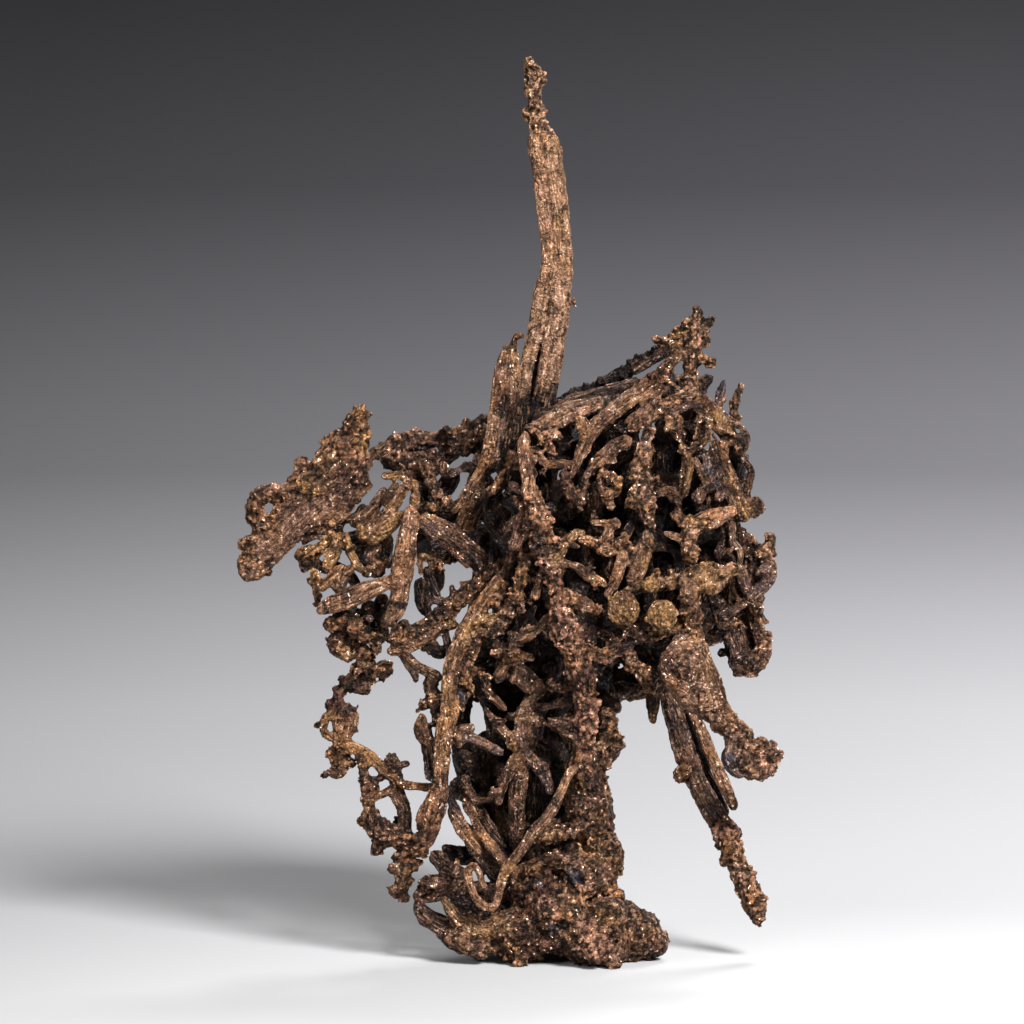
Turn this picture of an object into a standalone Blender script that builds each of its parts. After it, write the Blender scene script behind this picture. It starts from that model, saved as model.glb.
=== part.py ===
# A hand-size specimen of native copper: a tangle of flattened wires and granular lumps that
# stands on a lumpy base, with one tall spike. Every group of wires between two main forks is
# one solid, so the whole is a set of named branches that meet across a hairline gap.
#
# Routes are laid out on an upright sheet that is seen from a little above: u runs across, v
# runs up the view and depth runs forward from the sheet, all in sheet units. A strand is
# (depths, points), its points are (u, v, width), and its depths are spread evenly over them.
import math

import bmesh
import bpy
from mathutils import Vector, noise

NUGGET_HEIGHT = 0.0905  # from the floor to the tip of the spike
SHEET_HEIGHT = 90.5  # the same height in sheet units, so a unit is about a millimetre
UNIT = NUGGET_HEIGHT / SHEET_HEIGHT
VIEW_ANGLE = math.radians(8.0)  # how far above the horizon the sheet is seen from

MIDDLE_ACROSS = -0.17  # the sheet's u that lies over the middle of the nugget
MIDDLE_DEPTH = -1.84  # and the depth of that middle

BRANCH_GAP = 0.3  # clear space between neighbouring branches
GAP_ALLOWANCE = BRANCH_GAP * math.sqrt(2)  # a strand's corners move by this, and its sides by the gap
WIRE_FLATNESS = 0.78  # a strand's thickness, over its width
ROUGHNESS = 0.16  # how far the strands' edges wander, over their half width
THIN_WIRE = 2.25  # a strand narrower than this has four sides
MIDDLE_WIRE = 3.7  # and one narrower than this has five
FACETS_KEPT = 0.66  # of those that joining a branch's strands makes
BIG_LUMP = 6.0  # a lump with a half size over this is made of 320 facets
SMALL_LUMP = 1.95  # and one under this of 20, the others of 80

# The base: lumps as (u, v, depth), (half width, half height, half depth)
BASE_LUMPS = [
    ((5.2, 5.2, 2.0), (6.3, 4.9, 6.6)),
    ((6.2, 10.2, 2.6), (4.3, 5.2, 4.8)),
    ((7.9, 15.6, 4.0), (2.3, 4.9, 3.4)),
    ((1.0, 1.5, 6.6), (3.3, 3.2, 4.2)),
    ((9.0, 1.3, 8.2), (3.1, 3.3, 4.4)),
    ((13.2, 1.5, 4.0), (3.1, 2.6, 2.8)),
    ((-3.4, 1.7, 5.6), (2.7, 2.2, 2.6)),
    ((2.4, 7.2, 6.2), (2.3, 2.3, 2.4)),
    ((9.6, 9.8, 5.0), (1.7, 2.2, 2.2)),
    ((4.8, 4.6, 8.2), (2.9, 2.6, 2.4)),
    ((7.6, 8.2, 7.0), (2.5, 2.4, 2.2)),
    ((4.0, 3.6, -7.0), (4.4, 3.8, 4.6)),
]
BASE_STRANDS = [
    ((6,), [(-9.1, 4.4, 0.9), (-8, 3.2, 1.2), (-6.9, 2.6, 1.2), (-5.4, 2.2, 1.4)]),
    ((7.5,), [(-6.2, 5.5, 1), (-5.6, 4, 1.2), (-4.9, 2.6, 1.5), (-3.2, 2.5, 1.6), (-1.4, 2.9, 1.5)]),
    ((5, 4), [(-8.2, 6.9, 1.1), (-6.8, 7.6, 1.7), (-5, 6.8, 1.8), (-2.6, 5.8, 2.4), (0, 5.4, 2.6)]),
    ((5, 4), [(-7.3, 9.9, 1.6), (-6.3, 8.8, 1.9), (-4.8, 7.4, 2)]),
    ((6, 6, 4), [(-5.8, 14.2, 1.4), (-4.5, 12.3, 1.8), (-3, 10.3, 1.7), (-1.5, 8.5, 1.5), (1, 6.6, 1.6)]),
]

TRUNK_STRANDS = [
    ((-3, -4, -4, -4, -3), [(4.6, 11, 4.2), (4.2, 17, 4.6), (3.8, 23, 5), (3.4, 30, 5.4), (3, 37, 5.6),
                            (2.6, 44, 5), (2.2, 50, 4), (2.4, 54, 2.6)]),
    ((-2, -4, -3), [(1.4, 8.5, 2.6), (0.2, 12.5, 2.6), (-0.9, 17, 2.8), (-1.2, 22, 2.6), (-1.1, 27, 2.4),
                    (-1, 32, 2.6), (0.4, 38, 2.4)]),
    ((-2, -4, -5, -4), [(7.4, 14, 3.6), (7.6, 20, 3.8), (8, 26, 3.6), (9.2, 32, 4.8), (10.4, 38, 5.6),
                        (11, 44, 5.4), (10.4, 50, 4.2), (8.6, 54.6, 2.4)]),
    ((-4, -4, -3), [(10, 30, 3.4), (14, 34, 5), (16.8, 39, 5.6), (17.8, 44, 5.2), (17.4, 49, 4.6),
                    (16, 54, 3.4), (15.4, 57.4, 2)]),
    ((-3, -2, -2), [(12, 29.4, 2.6), (16.4, 31.6, 3.6), (19.8, 35, 4), (21.2, 40, 3.4), (21.4, 45, 2.8),
                    (20.6, 50, 2.2)]),
    ((5, 6, 6, 5, 4), [(3.3, 27.2, 1.5), (2, 25.2, 1.8), (1.2, 22.5, 1.8), (1.3, 20.2, 1.5), (1.3, 17, 1.9),
                       (0.6, 13.5, 1.9), (0.7, 10.6, 1.7), (1.6, 8.2, 1.8)]),
    ((6, 7), [(1.2, 20.6, 1.2), (0, 18.6, 1.3), (-0.7, 16.8, 1.2), (-1.2, 14.8, 0.7)]),
    ((6, 7), [(1.3, 20.4, 1.2), (2.4, 19.1, 1.6), (3.4, 17.9, 1.6), (4, 16.1, 1.1)]),
    ((5, 1, -3), [(3.3, 27, 1.8), (3.6, 28.2, 2.4), (3.6, 29, 2.8)]),
    ((6, 3, 0, -3), [(-1.6, 31, 1.2), (0.4, 29.4, 1.6), (1.6, 28.6, 2), (2.8, 28.2, 2.4)]),
    ((3, 0, -3), [(4.6, 20, 2), (4.2, 21.4, 2.2), (4, 22, 2.4)]),
    ((6, 1, -4), [(7.6, 45.4, 1.4), (8.4, 44.4, 2), (9.4, 43.6, 2.4)]),
    ((7, 2, -4), [(13.6, 43.4, 1.4), (13.8, 43, 2), (14.6, 42.2, 2.6)]),
    ((6, 1, -3), [(19.2, 44.2, 1.5), (19, 43.8, 2), (18.4, 43.6, 2.4)]),
    ((7, 2, -4), [(12.6, 31.6, 1.3), (12.6, 31.8, 2), (12.4, 32.4, 2.6)]),
    ((7, 1, -3), [(16.6, 31.4, 1.6), (16.8, 32, 2.2), (16.6, 33, 2.6)]),
    ((2, -3), [(10.8, 25.4, 1.6), (9.4, 26.6, 2), (8.6, 27.4, 2.4)]),
    ((3, 0, -3), [(10.7, 20.6, 1.4), (9.8, 21.6, 2), (8.6, 22.4, 2.4)]),
]

TALL_SPIKE_STRANDS = [
    ((1, 0, -0.5), [(1.9, 89.2, 1), (2.3, 87.4, 1.9), (2.6, 85, 1.9), (2.6, 82.8, 2.1), (3.1, 81.8, 3),
                    (3.6, 79, 3.3), (4, 76, 3.3), (4.3, 73.4, 3.1), (4.6, 69.5, 3.2), (4.3, 65.5, 3.4)]),
    ((-0.5, -1), [(3.5, 68.4, 1.1), (2.9, 65, 1.5), (2.4, 62, 1.5), (1.7, 59, 1.5), (1.2, 55, 1.3),
                  (0.9, 51, 1.2)]),
    ((-0.3, -0.6), [(4.8, 68.6, 1.8), (4.9, 65, 2.1), (4.5, 61.6, 2.3), (3.8, 58, 2.2), (3.1, 54.5, 2.1),
                    (2.6, 50.6, 1.8)]),
    ((-1.6, -2.4), [(4, 66.6, 2.8), (3.4, 62, 3.1), (2.8, 58, 3.1), (2.1, 54, 2.8), (1.7, 50, 2.6)]),
    ((0,), [(2.6, 83, 1.2), (1.6, 83.5, 0.9)]),
]

SHORT_SPIKE_STRANDS = [
    ((4, 4, 3), [(0.7, 61.9, 0.5), (0.3, 60.6, 1), (-0.1, 59.4, 1.9), (-0.4, 57.4, 2.4), (-0.6, 54.6, 2.8),
                 (-1, 52, 2.7), (-1.6, 49.6, 2.4), (-2, 47.4, 1.8)]),
    ((4, 3), [(-1.9, 51, 1.2), (-2.8, 48.5, 1.3), (-4, 46.5, 1.3), (-5, 44.8, 1.1), (-5.7, 43.8, 0.8)]),
    ((3, 0.5, -2), [(-1.4, 50.4, 2.2), (-0.4, 48.6, 2.2), (0.8, 47.4, 2.2)]),
]

FRONT_STEM_STRANDS = [
    ((8, 9, 10, 10, 10, 9, 7.5), [(1.5, 51.8, 0.9), (1.6, 49.4, 1.6), (1.9, 46.8, 1.5), (2.6, 44.2, 2),
                                  (3.5, 41.8, 2.5), (3.5, 39.6, 2.1), (4.5, 37.4, 1.9), (4.6, 35.2, 2.1),
                                  (5.4, 33, 2.6), (6.2, 30.9, 3.1), (7, 28.2, 2.8), (7.6, 25.2, 2.5),
                                  (7.6, 22.6, 2.3), (7.3, 20.2, 2)]),
    ((10,), [(4.2, 39, 1.2), (5.4, 40.3, 1.1), (6.4, 41.4, 1.1), (7.1, 42, 0.7)]),
    ((10,), [(4.2, 38.6, 1.1), (6.6, 38.7, 1.1), (7.9, 38, 1.2), (9.3, 36.9, 0.8)]),
    ((10,), [(4.8, 36.1, 1.3), (6.5, 35.5, 1.6), (7.6, 35, 1.9), (8.9, 34.2, 1)]),
    ((10, 9), [(6.8, 30.4, 1.6), (9.2, 29.7, 1.7), (10.5, 30.8, 1.5), (11.3, 31.9, 1.2)]),
    ((9, 9), [(10.6, 31, 1.2), (11.6, 30, 1.5), (12.8, 28.3, 1.6), (13.9, 26.4, 1.2)]),
    ((8, 8), [(3.7, 27.1, 0.9), (5.2, 26.7, 1), (7, 26.6, 1.2)]),
    ((9, 8), [(4.1, 23.1, 1.2), (5.6, 23, 1.6), (7.2, 22.8, 1.4)]),
    ((9, 4, -0.5), [(3.5, 41.4, 2), (3.4, 40.6, 2.2), (3.2, 40, 2.6)]),
    ((9, 4, -1.5), [(6.2, 31, 2.2), (5.6, 31, 2.4), (4.8, 31, 2.8)]),
]

LONG_WIRE_STRANDS = [
    ((5, 8, 8.5, 8, 7), [(0.8, 39.6, 1.4), (-1.2, 36.8, 2), (-3, 34.2, 2.5), (-4.5, 31.5, 2.4),
                         (-5.6, 29.4, 2), (-6.4, 27.2, 1.8), (-6.5, 24.4, 1.9), (-6.8, 21.4, 1.6),
                         (-7, 18.4, 1.5), (-7.3, 15.8, 1.8), (-7.9, 13.8, 2.3), (-8.6, 11.8, 2.2),
                         (-9.1, 10.5, 1.6)]),
    ((7, 6.5), [(-1.8, 33.8, 1.6), (-3.4, 31, 1.9), (-4.3, 29, 1.8), (-5, 26.9, 1.3)]),
    ((8,), [(-3, 31.5, 1), (-1.2, 32.2, 1.1), (-0.4, 33.4, 1.1), (1, 35.3, 1.2)]),
    ((6.5, 7.5, 8.5), [(-8.7, 24.8, 1.2), (-8.1, 26.6, 1.5), (-6.6, 27, 1.6)]),
    ((6.5, 7, 8), [(-8.6, 20.6, 1.1), (-8.1, 18.2, 1.5), (-7.4, 15.4, 1.4)]),
    ((5, 2, -0.5), [(0.6, 39.2, 1.4), (1.2, 39.4, 1.7), (1.6, 39.6, 2)]),
]

HOOK_WIRE_STRANDS = [
    ((9, 10, 10, 9.5, 8.5), [(-4.3, 8.5, 0.9), (-4, 6.8, 0.95), (-3.3, 5.4, 0.95), (-2.3, 4.7, 0.95),
                             (-1.5, 5.3, 1), (-0.8, 7.4, 1.05), (-0.1, 9.1, 1.1), (1.4, 10.8, 1.15),
                             (3, 12.9, 1.2), (4.4, 14.9, 1.15), (5.4, 16.9, 1.1), (6.5, 18.7, 1)]),
]

CROWN_STRANDS = [
    ((7, 6, 5, 4), [(1.6, 52.5, 0.9), (3.4, 53.3, 1.8), (6, 54.3, 2.2), (9, 55.4, 2.1), (11.4, 56.5, 1.7),
                    (13, 57.3, 1.4)]),
    ((8, 7, 5, 3), [(6.4, 48.2, 0.8), (7.6, 50.6, 1.3), (9.2, 52.6, 1.6), (11, 54.8, 1.9),
                    (13.2, 56.4, 1.9), (15.4, 58.3, 1.6), (17.4, 60.2, 1.2)]),
    ((6,), [(6.9, 54.6, 1.4), (6.8, 53, 1), (6.5, 51.5, 0.5)]),
    ((0, 1, 2), [(3.6, 54.6, 1.2), (5.8, 55.7, 1.3), (8.4, 56.7, 1.4), (11, 57.9, 1.4), (13, 59.2, 1.3),
                 (15.6, 60.4, 1.2), (18, 60.8, 1.2)]),
    ((7, 6, 4), [(10, 52, 1), (12.5, 53, 1.3), (14.5, 54, 1.5), (16.5, 55.1, 1.4), (18.6, 56.2, 1.3)]),
    ((3,), [(18.4, 54.8, 1.1), (18, 57.4, 1.5), (18.2, 60, 1.7), (18.5, 62.2, 1.7), (18.7, 64.7, 0.6)]),
    ((3,), [(18.4, 62, 1.1), (20, 63.2, 0.9)]),
    ((3,), [(18, 60.8, 1.1), (16.2, 62.4, 0.9)]),
    ((2.5,), [(17, 59.6, 1.1), (14.5, 61.6, 0.9)]),
    ((5, 1, -2), [(9.4, 55.4, 1.6), (9.2, 56, 1.8), (9, 56, 2)]),
    ((4, 0, -2), [(15.4, 57.8, 1.5), (15.4, 57.8, 1.8), (15.6, 57, 1.8)]),
    ((6, 2, 1), [(3.4, 53.2, 1.5), (3.2, 53.8, 1.8), (3.4, 54.4, 1.4)]),
]

RIGHT_CAGE_STRANDS = [
    ((8,), [(11.6, 51.6, 1.1), (10.3, 50.4, 1.3), (8.6, 48.7, 1.3), (7.4, 47.4, 1.2), (7.2, 45.8, 1.2),
            (7.8, 44.2, 1)]),
    ((8,), [(5.1, 48.4, 1), (5.6, 46.8, 1.1), (6.4, 45.2, 1.1), (8.3, 43.1, 1)]),
    ((8.5,), [(9.2, 48, 1), (9.1, 46.3, 1.2), (10.4, 46.2, 1.1), (10.5, 47.5, 1), (9.6, 48.6, 1)]),
    ((8,), [(9.8, 46.2, 1), (9.7, 44.6, 1), (9.4, 43, 1)]),
    ((7.5, 8, 8.5), [(7.6, 43.1, 1), (9.4, 43, 1), (11.4, 43.2, 1), (13.6, 43.6, 1.2)]),
    ((7, 8.5, 8.5, 8), [(14.3, 53.6, 1.2), (14, 51.4, 1.5), (13.6, 49.4, 1.9), (13.3, 47.4, 2),
                        (13.4, 45, 1.6), (13.9, 42.8, 1.3), (13.5, 40.6, 1.5), (13, 39, 1.7),
                        (12.1, 37.4, 1.3)]),
    ((8, 8.5), [(11.7, 42, 0.8), (11.3, 39.8, 1.3), (10.7, 38.2, 1.5), (9.7, 36, 0.8)]),
    ((7.5, 8, 8), [(6.8, 41.3, 0.9), (8.2, 41, 1.1), (9.8, 40.2, 1.2), (11.2, 41, 1.2), (13.6, 42, 1.1)]),
    ((7.5, 8), [(17.4, 43.8, 1.4), (18.2, 42.2, 1.6), (17.7, 40.4, 1.6), (17.8, 38.9, 1.2)]),
    ((6, 7.5, 8.5), [(22.6, 44.4, 1.3), (20.4, 43.9, 1.9), (18.2, 43.1, 1.8), (16.4, 44.4, 1.3),
                     (15.2, 46.1, 1.1), (13.2, 46.4, 1.2)]),
    ((6.5,), [(14.2, 53.2, 1.1), (15.8, 52.4, 1.2), (16.8, 50.9, 1.2), (18.2, 50.3, 1.1), (19.4, 51.3, 1.1),
              (19.3, 53, 1), (18, 54.6, 1), (16.4, 54, 1), (15.6, 52.8, 1)]),
    ((7,), [(17.6, 50.8, 0.9), (17.9, 48, 0.9), (17.5, 46, 0.9), (17.2, 44, 1)]),
    ((6.4, 4.5, 5, 6.8), [(18.4, 50.6, 1.6), (19, 48, 2.4), (19.4, 45.6, 2.2), (19.4, 43.9, 1.8)]),
    ((4, 4, 3, 3), [(18.6, 55.6, 1), (19.8, 54.4, 1.3), (21.2, 53.1, 1.5), (22.8, 51.2, 2),
                    (23.2, 49.6, 1.5), (24, 48, 1), (23.6, 45.6, 1.3), (25.3, 44.2, 1)]),
    ((4.5, 4), [(20.6, 52, 1.2), (20.9, 48.6, 1.6), (21.8, 46.4, 1.8), (22.9, 44.6, 1.6),
                (23.7, 43.3, 0.8)]),
    ((3,), [(22.2, 52, 1), (22.3, 54.4, 0.9), (23, 56.5, 0.7)]),
    ((3.5,), [(20.9, 53.2, 1), (20.9, 55.4, 1.2), (21.3, 57.4, 0.7)]),
    ((6.4, 4.5, 3.4), [(18.6, 54.2, 1.2), (20.4, 52.2, 1.3), (22.6, 50.8, 1.4)]),
    ((3, -1, -4), [(23, 49.6, 1.4), (22.8, 48.8, 1.6), (22, 48, 1.8)]),
]

FINGER_LUMPS = [
    ((11.2, 34.6, 10.0), (1.85, 1.9, 0.95)),
    ((15.0, 34.3, 10.0), (1.75, 1.7, 0.95)),
    ((19.3, 37.5, 9.4), (2.2, 1.6, 1.1)),
    ((18.0, 28.6, 10.6), (2.9, 3.3, 2.0)),
    ((24.0, 19.5, 11.4), (3.1, 2.2, 2.5)),
]
RIGHT_FINGER_STRANDS = [
    ((9.6,), [(10.6, 35.2, 1.8), (12.2, 36.2, 1.8), (13.9, 36.8, 2.3), (15.8, 36.8, 1.9), (17.6, 37.2, 2.1),
              (19.6, 37.6, 2.8), (21.4, 37.6, 2), (22.5, 38.5, 1.2)]),
    ((9.8, 10, 11, 11.4), [(17.7, 37, 1.9), (17.8, 35.4, 2.1), (17.7, 33.2, 2), (18.6, 31.6, 3.1),
                           (18.6, 29, 3.6), (18.9, 26.4, 4.6), (20.4, 24.3, 3.4), (21.6, 22.7, 2.4),
                           (22.8, 21.4, 2.8), (23.8, 20, 3)]),
    ((10.6,), [(16.6, 30.8, 1.4), (15.1, 29.6, 1.7), (15, 28, 1.8), (16.4, 27, 1.6)]),
    ((9.4,), [(10.9, 33.6, 1.4), (12.4, 32, 1.3), (14.4, 32, 1.6), (16.6, 32.6, 1.4), (18, 33, 1.6)]),
    ((10,), [(13.4, 36, 1.4), (14.4, 35.2, 1.6), (15, 34, 1.6)]),
    ((10.4,), [(17, 26.4, 1.6), (18.2, 25, 1.7), (20, 23.6, 1.7)]),
]

RIGHT_LEG_STRANDS = [
    ((2, 3, 4, 4.5, 5), [(15.2, 27, 1.8), (15.9, 24.6, 1.9), (16.4, 22.2, 2.1), (17.1, 20, 2.3),
                         (17.9, 17.9, 2.3), (19.2, 15.4, 2.1), (20.8, 13.2, 2.4), (21.9, 11.3, 2.6),
                         (22.4, 9.4, 2.4), (23.2, 7.6, 2), (24.2, 5.9, 2.6), (24.5, 4.2, 2.6),
                         (24.8, 2.7, 0.8)]),
    ((2.6, 3.4, 4.2), [(16.2, 26, 1.4), (17.1, 24, 1.5), (18.4, 21.2, 1.6), (19.6, 18.8, 1.6),
                       (21, 16.4, 1.6), (22.4, 14.8, 1.1)]),
    ((3.8,), [(17.6, 18.2, 1.5), (16.6, 17.6, 1.2)]),
    ((2, 1, -1.5), [(15.2, 26.8, 1.9), (14.2, 28.6, 2.2), (13.4, 30.2, 2.4)]),
    ((3,), [(15.2, 27.2, 1.4), (14.4, 25.6, 1.6), (14.3, 22.9, 0.9)]),
]

RIGHT_EDGE_STRANDS = [
    ((4,), [(20.2, 35.7, 1.4), (21.3, 33.5, 1.9), (22.1, 31.2, 1.8), (22.6, 28.8, 1.8)]),
    ((5, 5, 4), [(21.6, 33.8, 1), (23.7, 35.3, 1.1), (25.4, 36.8, 1.7), (26.2, 38.2, 1.4),
                 (25.2, 39.6, 1.6)]),
    ((3,), [(22.2, 42, 1.4), (23.5, 40.7, 1.8), (24.8, 39.7, 2.8), (25.9, 40.6, 1.6), (26, 41.6, 1.1)]),
    ((2.5, 4), [(24.2, 39.6, 2), (24.3, 37.8, 2), (24.3, 36, 1.3)]),
    ((6, 5), [(22.8, 38.6, 1), (23.4, 37.2, 1.3), (23.6, 35.4, 1.1)]),
    ((4, 3, 2), [(22.4, 43, 1), (22.6, 41, 1.1), (21.4, 40.6, 2), (21.6, 39, 1.6)]),
    ((3,), [(24.3, 36.4, 1.1), (24.8, 33.8, 1.1), (25.1, 31.8, 1.7), (25.3, 30.6, 1.9), (24.8, 29.3, 1.6),
            (24.2, 28.3, 1.5), (22.4, 28.7, 1.4)]),
    ((1.5, 3), [(22.8, 33.2, 1.5), (23, 31, 1.9), (22.8, 29.2, 1.9)]),
    ((3, 0.5, -0.5), [(22.2, 41, 1.6), (22, 40, 1.8), (21.6, 39.4, 1.8)]),
    ((1.5, -2.5, -6), [(23.6, 40.2, 1.4), (23.8, 38.4, 1.8), (22.6, 36, 1.8)]),
    ((2, -1.5, -6, -7), [(22.8, 30.2, 1.4), (23, 31.6, 1.8), (22, 34, 1.8), (22.6, 36.4, 1.6)]),
]

LEFT_ARM_STRANDS = [
    ((4, 3), [(-26.2, 38.2, 3.4), (-24.3, 40.3, 3.6), (-22.3, 42.3, 3.8), (-20, 44.3, 4.2), (-17.8, 46, 4),
              (-16, 47.2, 2.4)]),
    ((3, 2), [(-21.8, 46.4, 3), (-19.6, 46.9, 4.6), (-17.6, 48.6, 4.6), (-16.3, 50.6, 4), (-15.3, 52.6, 3),
              (-14.7, 54.5, 1)]),
    ((3.5,), [(-22.4, 46, 1.3), (-24.3, 46.3, 1.2), (-25.5, 45.6, 1.2), (-25.8, 44.2, 1.2),
              (-24.8, 42.2, 1.3)]),
    ((3,), [(-20.6, 47.2, 1.7), (-21.1, 49.3, 0.8)]),
    ((2.5,), [(-18, 49.2, 2), (-18.3, 51.4, 0.8)]),
    ((3, 3, 2), [(-17.6, 46, 2), (-15.4, 45.6, 1.8), (-14.2, 46.8, 1.4)]),
    ((2.5, 2), [(-16.6, 47.6, 1.8), (-14.9, 48.4, 1.6)]),
]

LEFT_FAN_STRANDS = [
    ((1, 0, 0, -1), [(-14.6, 48.8, 1.3), (-12.8, 50.4, 2), (-10.9, 51.3, 2.5), (-9, 51.6, 2.4),
                     (-7.4, 51.8, 1.5), (-5.2, 52.2, 2.3), (-3.6, 52.9, 2.5), (-2.3, 53.4, 1.8)]),
    ((1, 2, 2), [(-11.8, 50.6, 2), (-10, 49.3, 2.8), (-8.2, 49.5, 1.8), (-6.4, 50.8, 1.4)]),
    ((5.6, 4), [(-9.6, 47.6, 1.2), (-11, 46.2, 1.1), (-12.3, 44.2, 1.2), (-13.6, 42.8, 1.2),
                (-16.8, 41.8, 1.3)]),
    ((6, 5, 4.4), [(-10.2, 44.2, 1.3), (-12.4, 42.4, 1.3), (-14, 40.8, 1.3), (-15, 39.2, 1)]),
    ((2, 3), [(-18.4, 42.8, 1.2), (-16, 43.5, 1.2), (-14, 44, 1.2), (-12.4, 46, 1.2), (-10.4, 48.4, 1.4)]),
    ((4, 4, 4, 2.4), [(-21, 39.8, 1.5), (-18.9, 40.3, 1.6), (-17, 41.8, 1.6), (-15.6, 43.5, 1.4)]),
    ((6, 5, 4), [(-19, 35.3, 1.5), (-17.5, 36.6, 1.3), (-16, 38.5, 1.3), (-15.2, 40.6, 1.2),
                 (-14.6, 42.2, 1.2)]),
    ((6, 6, 5.5), [(-19.2, 34.8, 1.3), (-17.6, 35.2, 2), (-14.8, 36.3, 2), (-12.5, 37, 1.9),
                   (-10, 37.3, 1.6)]),
    ((2, 5.6, 6.2, 6.5, 6.5, 6.5, 6, 5.5, 5), [(-9.6, 49.6, 1.5), (-9.4, 47.4, 1.3), (-9.6, 45, 1.4),
                                               (-10.1, 42.2, 1.9), (-10.3, 39.6, 2.1), (-10.6, 36.6, 2.1),
                                               (-11.2, 34.4, 1.7), (-12.6, 32.4, 1.5), (-13.8, 31, 1.6)]),
    ((6.2, 3.6, 1, -1), [(-10, 43.2, 1.5), (-7.6, 42.6, 2.4), (-5.8, 42, 2.2), (-3.4, 43.2, 2.4),
                         (-1, 44.6, 2.2)]),
    ((4, 5), [(-7.2, 42.5, 1.8), (-4.9, 40.6, 1.6), (-2.9, 38.8, 1.4)]),
    ((6.2, 3.5, 2), [(-9.8, 39.4, 1.2), (-7.4, 39.4, 1.1), (-5.2, 39.8, 1.1), (-3.4, 41.6, 1.6)]),
    ((5, 4, 3.6), [(-8.8, 39.8, 1.4), (-8.5, 36.6, 1.6), (-8.8, 34, 1.5), (-9.4, 32.2, 1.4)]),
    ((5, 4, 4.5), [(-1.6, 38.4, 1.1), (-4, 36.4, 1.2), (-6, 34.6, 1.4), (-8.5, 32.9, 1.4),
                   (-11.6, 31.9, 1.4)]),
    ((4, 4.5), [(-7.2, 32.4, 1.4), (-9.6, 31.1, 1.4), (-12.4, 30.6, 1.5)]),
    ((4,), [(-17.8, 32.9, 1.3), (-15.6, 32.8, 1.9), (-13.6, 31.4, 2), (-12, 31, 1.5)]),
    ((4,), [(-17.6, 30.4, 1.6), (-15.8, 31, 2), (-13.8, 31.2, 1.8)]),
    ((4,), [(-11, 30.9, 1.2), (-9.7, 28.3, 1.1), (-9.4, 27.3, 0.7)]),
    ((4.5, 5), [(-9.4, 31.2, 1.4), (-8, 29.9, 1.8), (-7, 29, 1.7)]),
    ((4.9, 1, -2), [(-3, 38.9, 1.3), (-2, 39.8, 1.6), (-0.6, 41, 1.8)]),
]

LEFT_CHAIN_STRANDS = [
    ((4, 3.5, 3), [(-14.2, 30.2, 1.8), (-15.2, 28.3, 1.5), (-16.8, 26.2, 1.4), (-17.1, 24.2, 1.7),
                   (-16.9, 22, 2), (-16.8, 19.8, 2), (-16.9, 18, 1.3)]),
    ((3.5, 5, 7), [(-16.6, 20.8, 1.3), (-14.8, 20.1, 1.4), (-13, 18.7, 1.3), (-11.2, 17.2, 1.1),
                   (-9.2, 16.7, 1), (-7.6, 16.6, 1)]),
    ((4, 5, 6, 6.5), [(-14.9, 20, 1.1), (-14.5, 17.5, 1.3), (-14.2, 15.2, 1.6), (-13.6, 13, 2.7),
                      (-12, 11.9, 2.7), (-10.2, 11.2, 2.3)]),
    ((6,), [(-10.8, 11.6, 2), (-10.6, 9, 1.8), (-10.8, 7.1, 1.8), (-11.2, 5.3, 1.5)]),
    ((4.5, 5, 6), [(-11.9, 18.8, 1.2), (-11.3, 16.6, 1.8), (-10.6, 14.4, 1.7), (-10.5, 12, 1.6)]),
    ((5.5,), [(-12.6, 12.2, 1.6), (-13.3, 10.3, 1.2)]),
]

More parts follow.
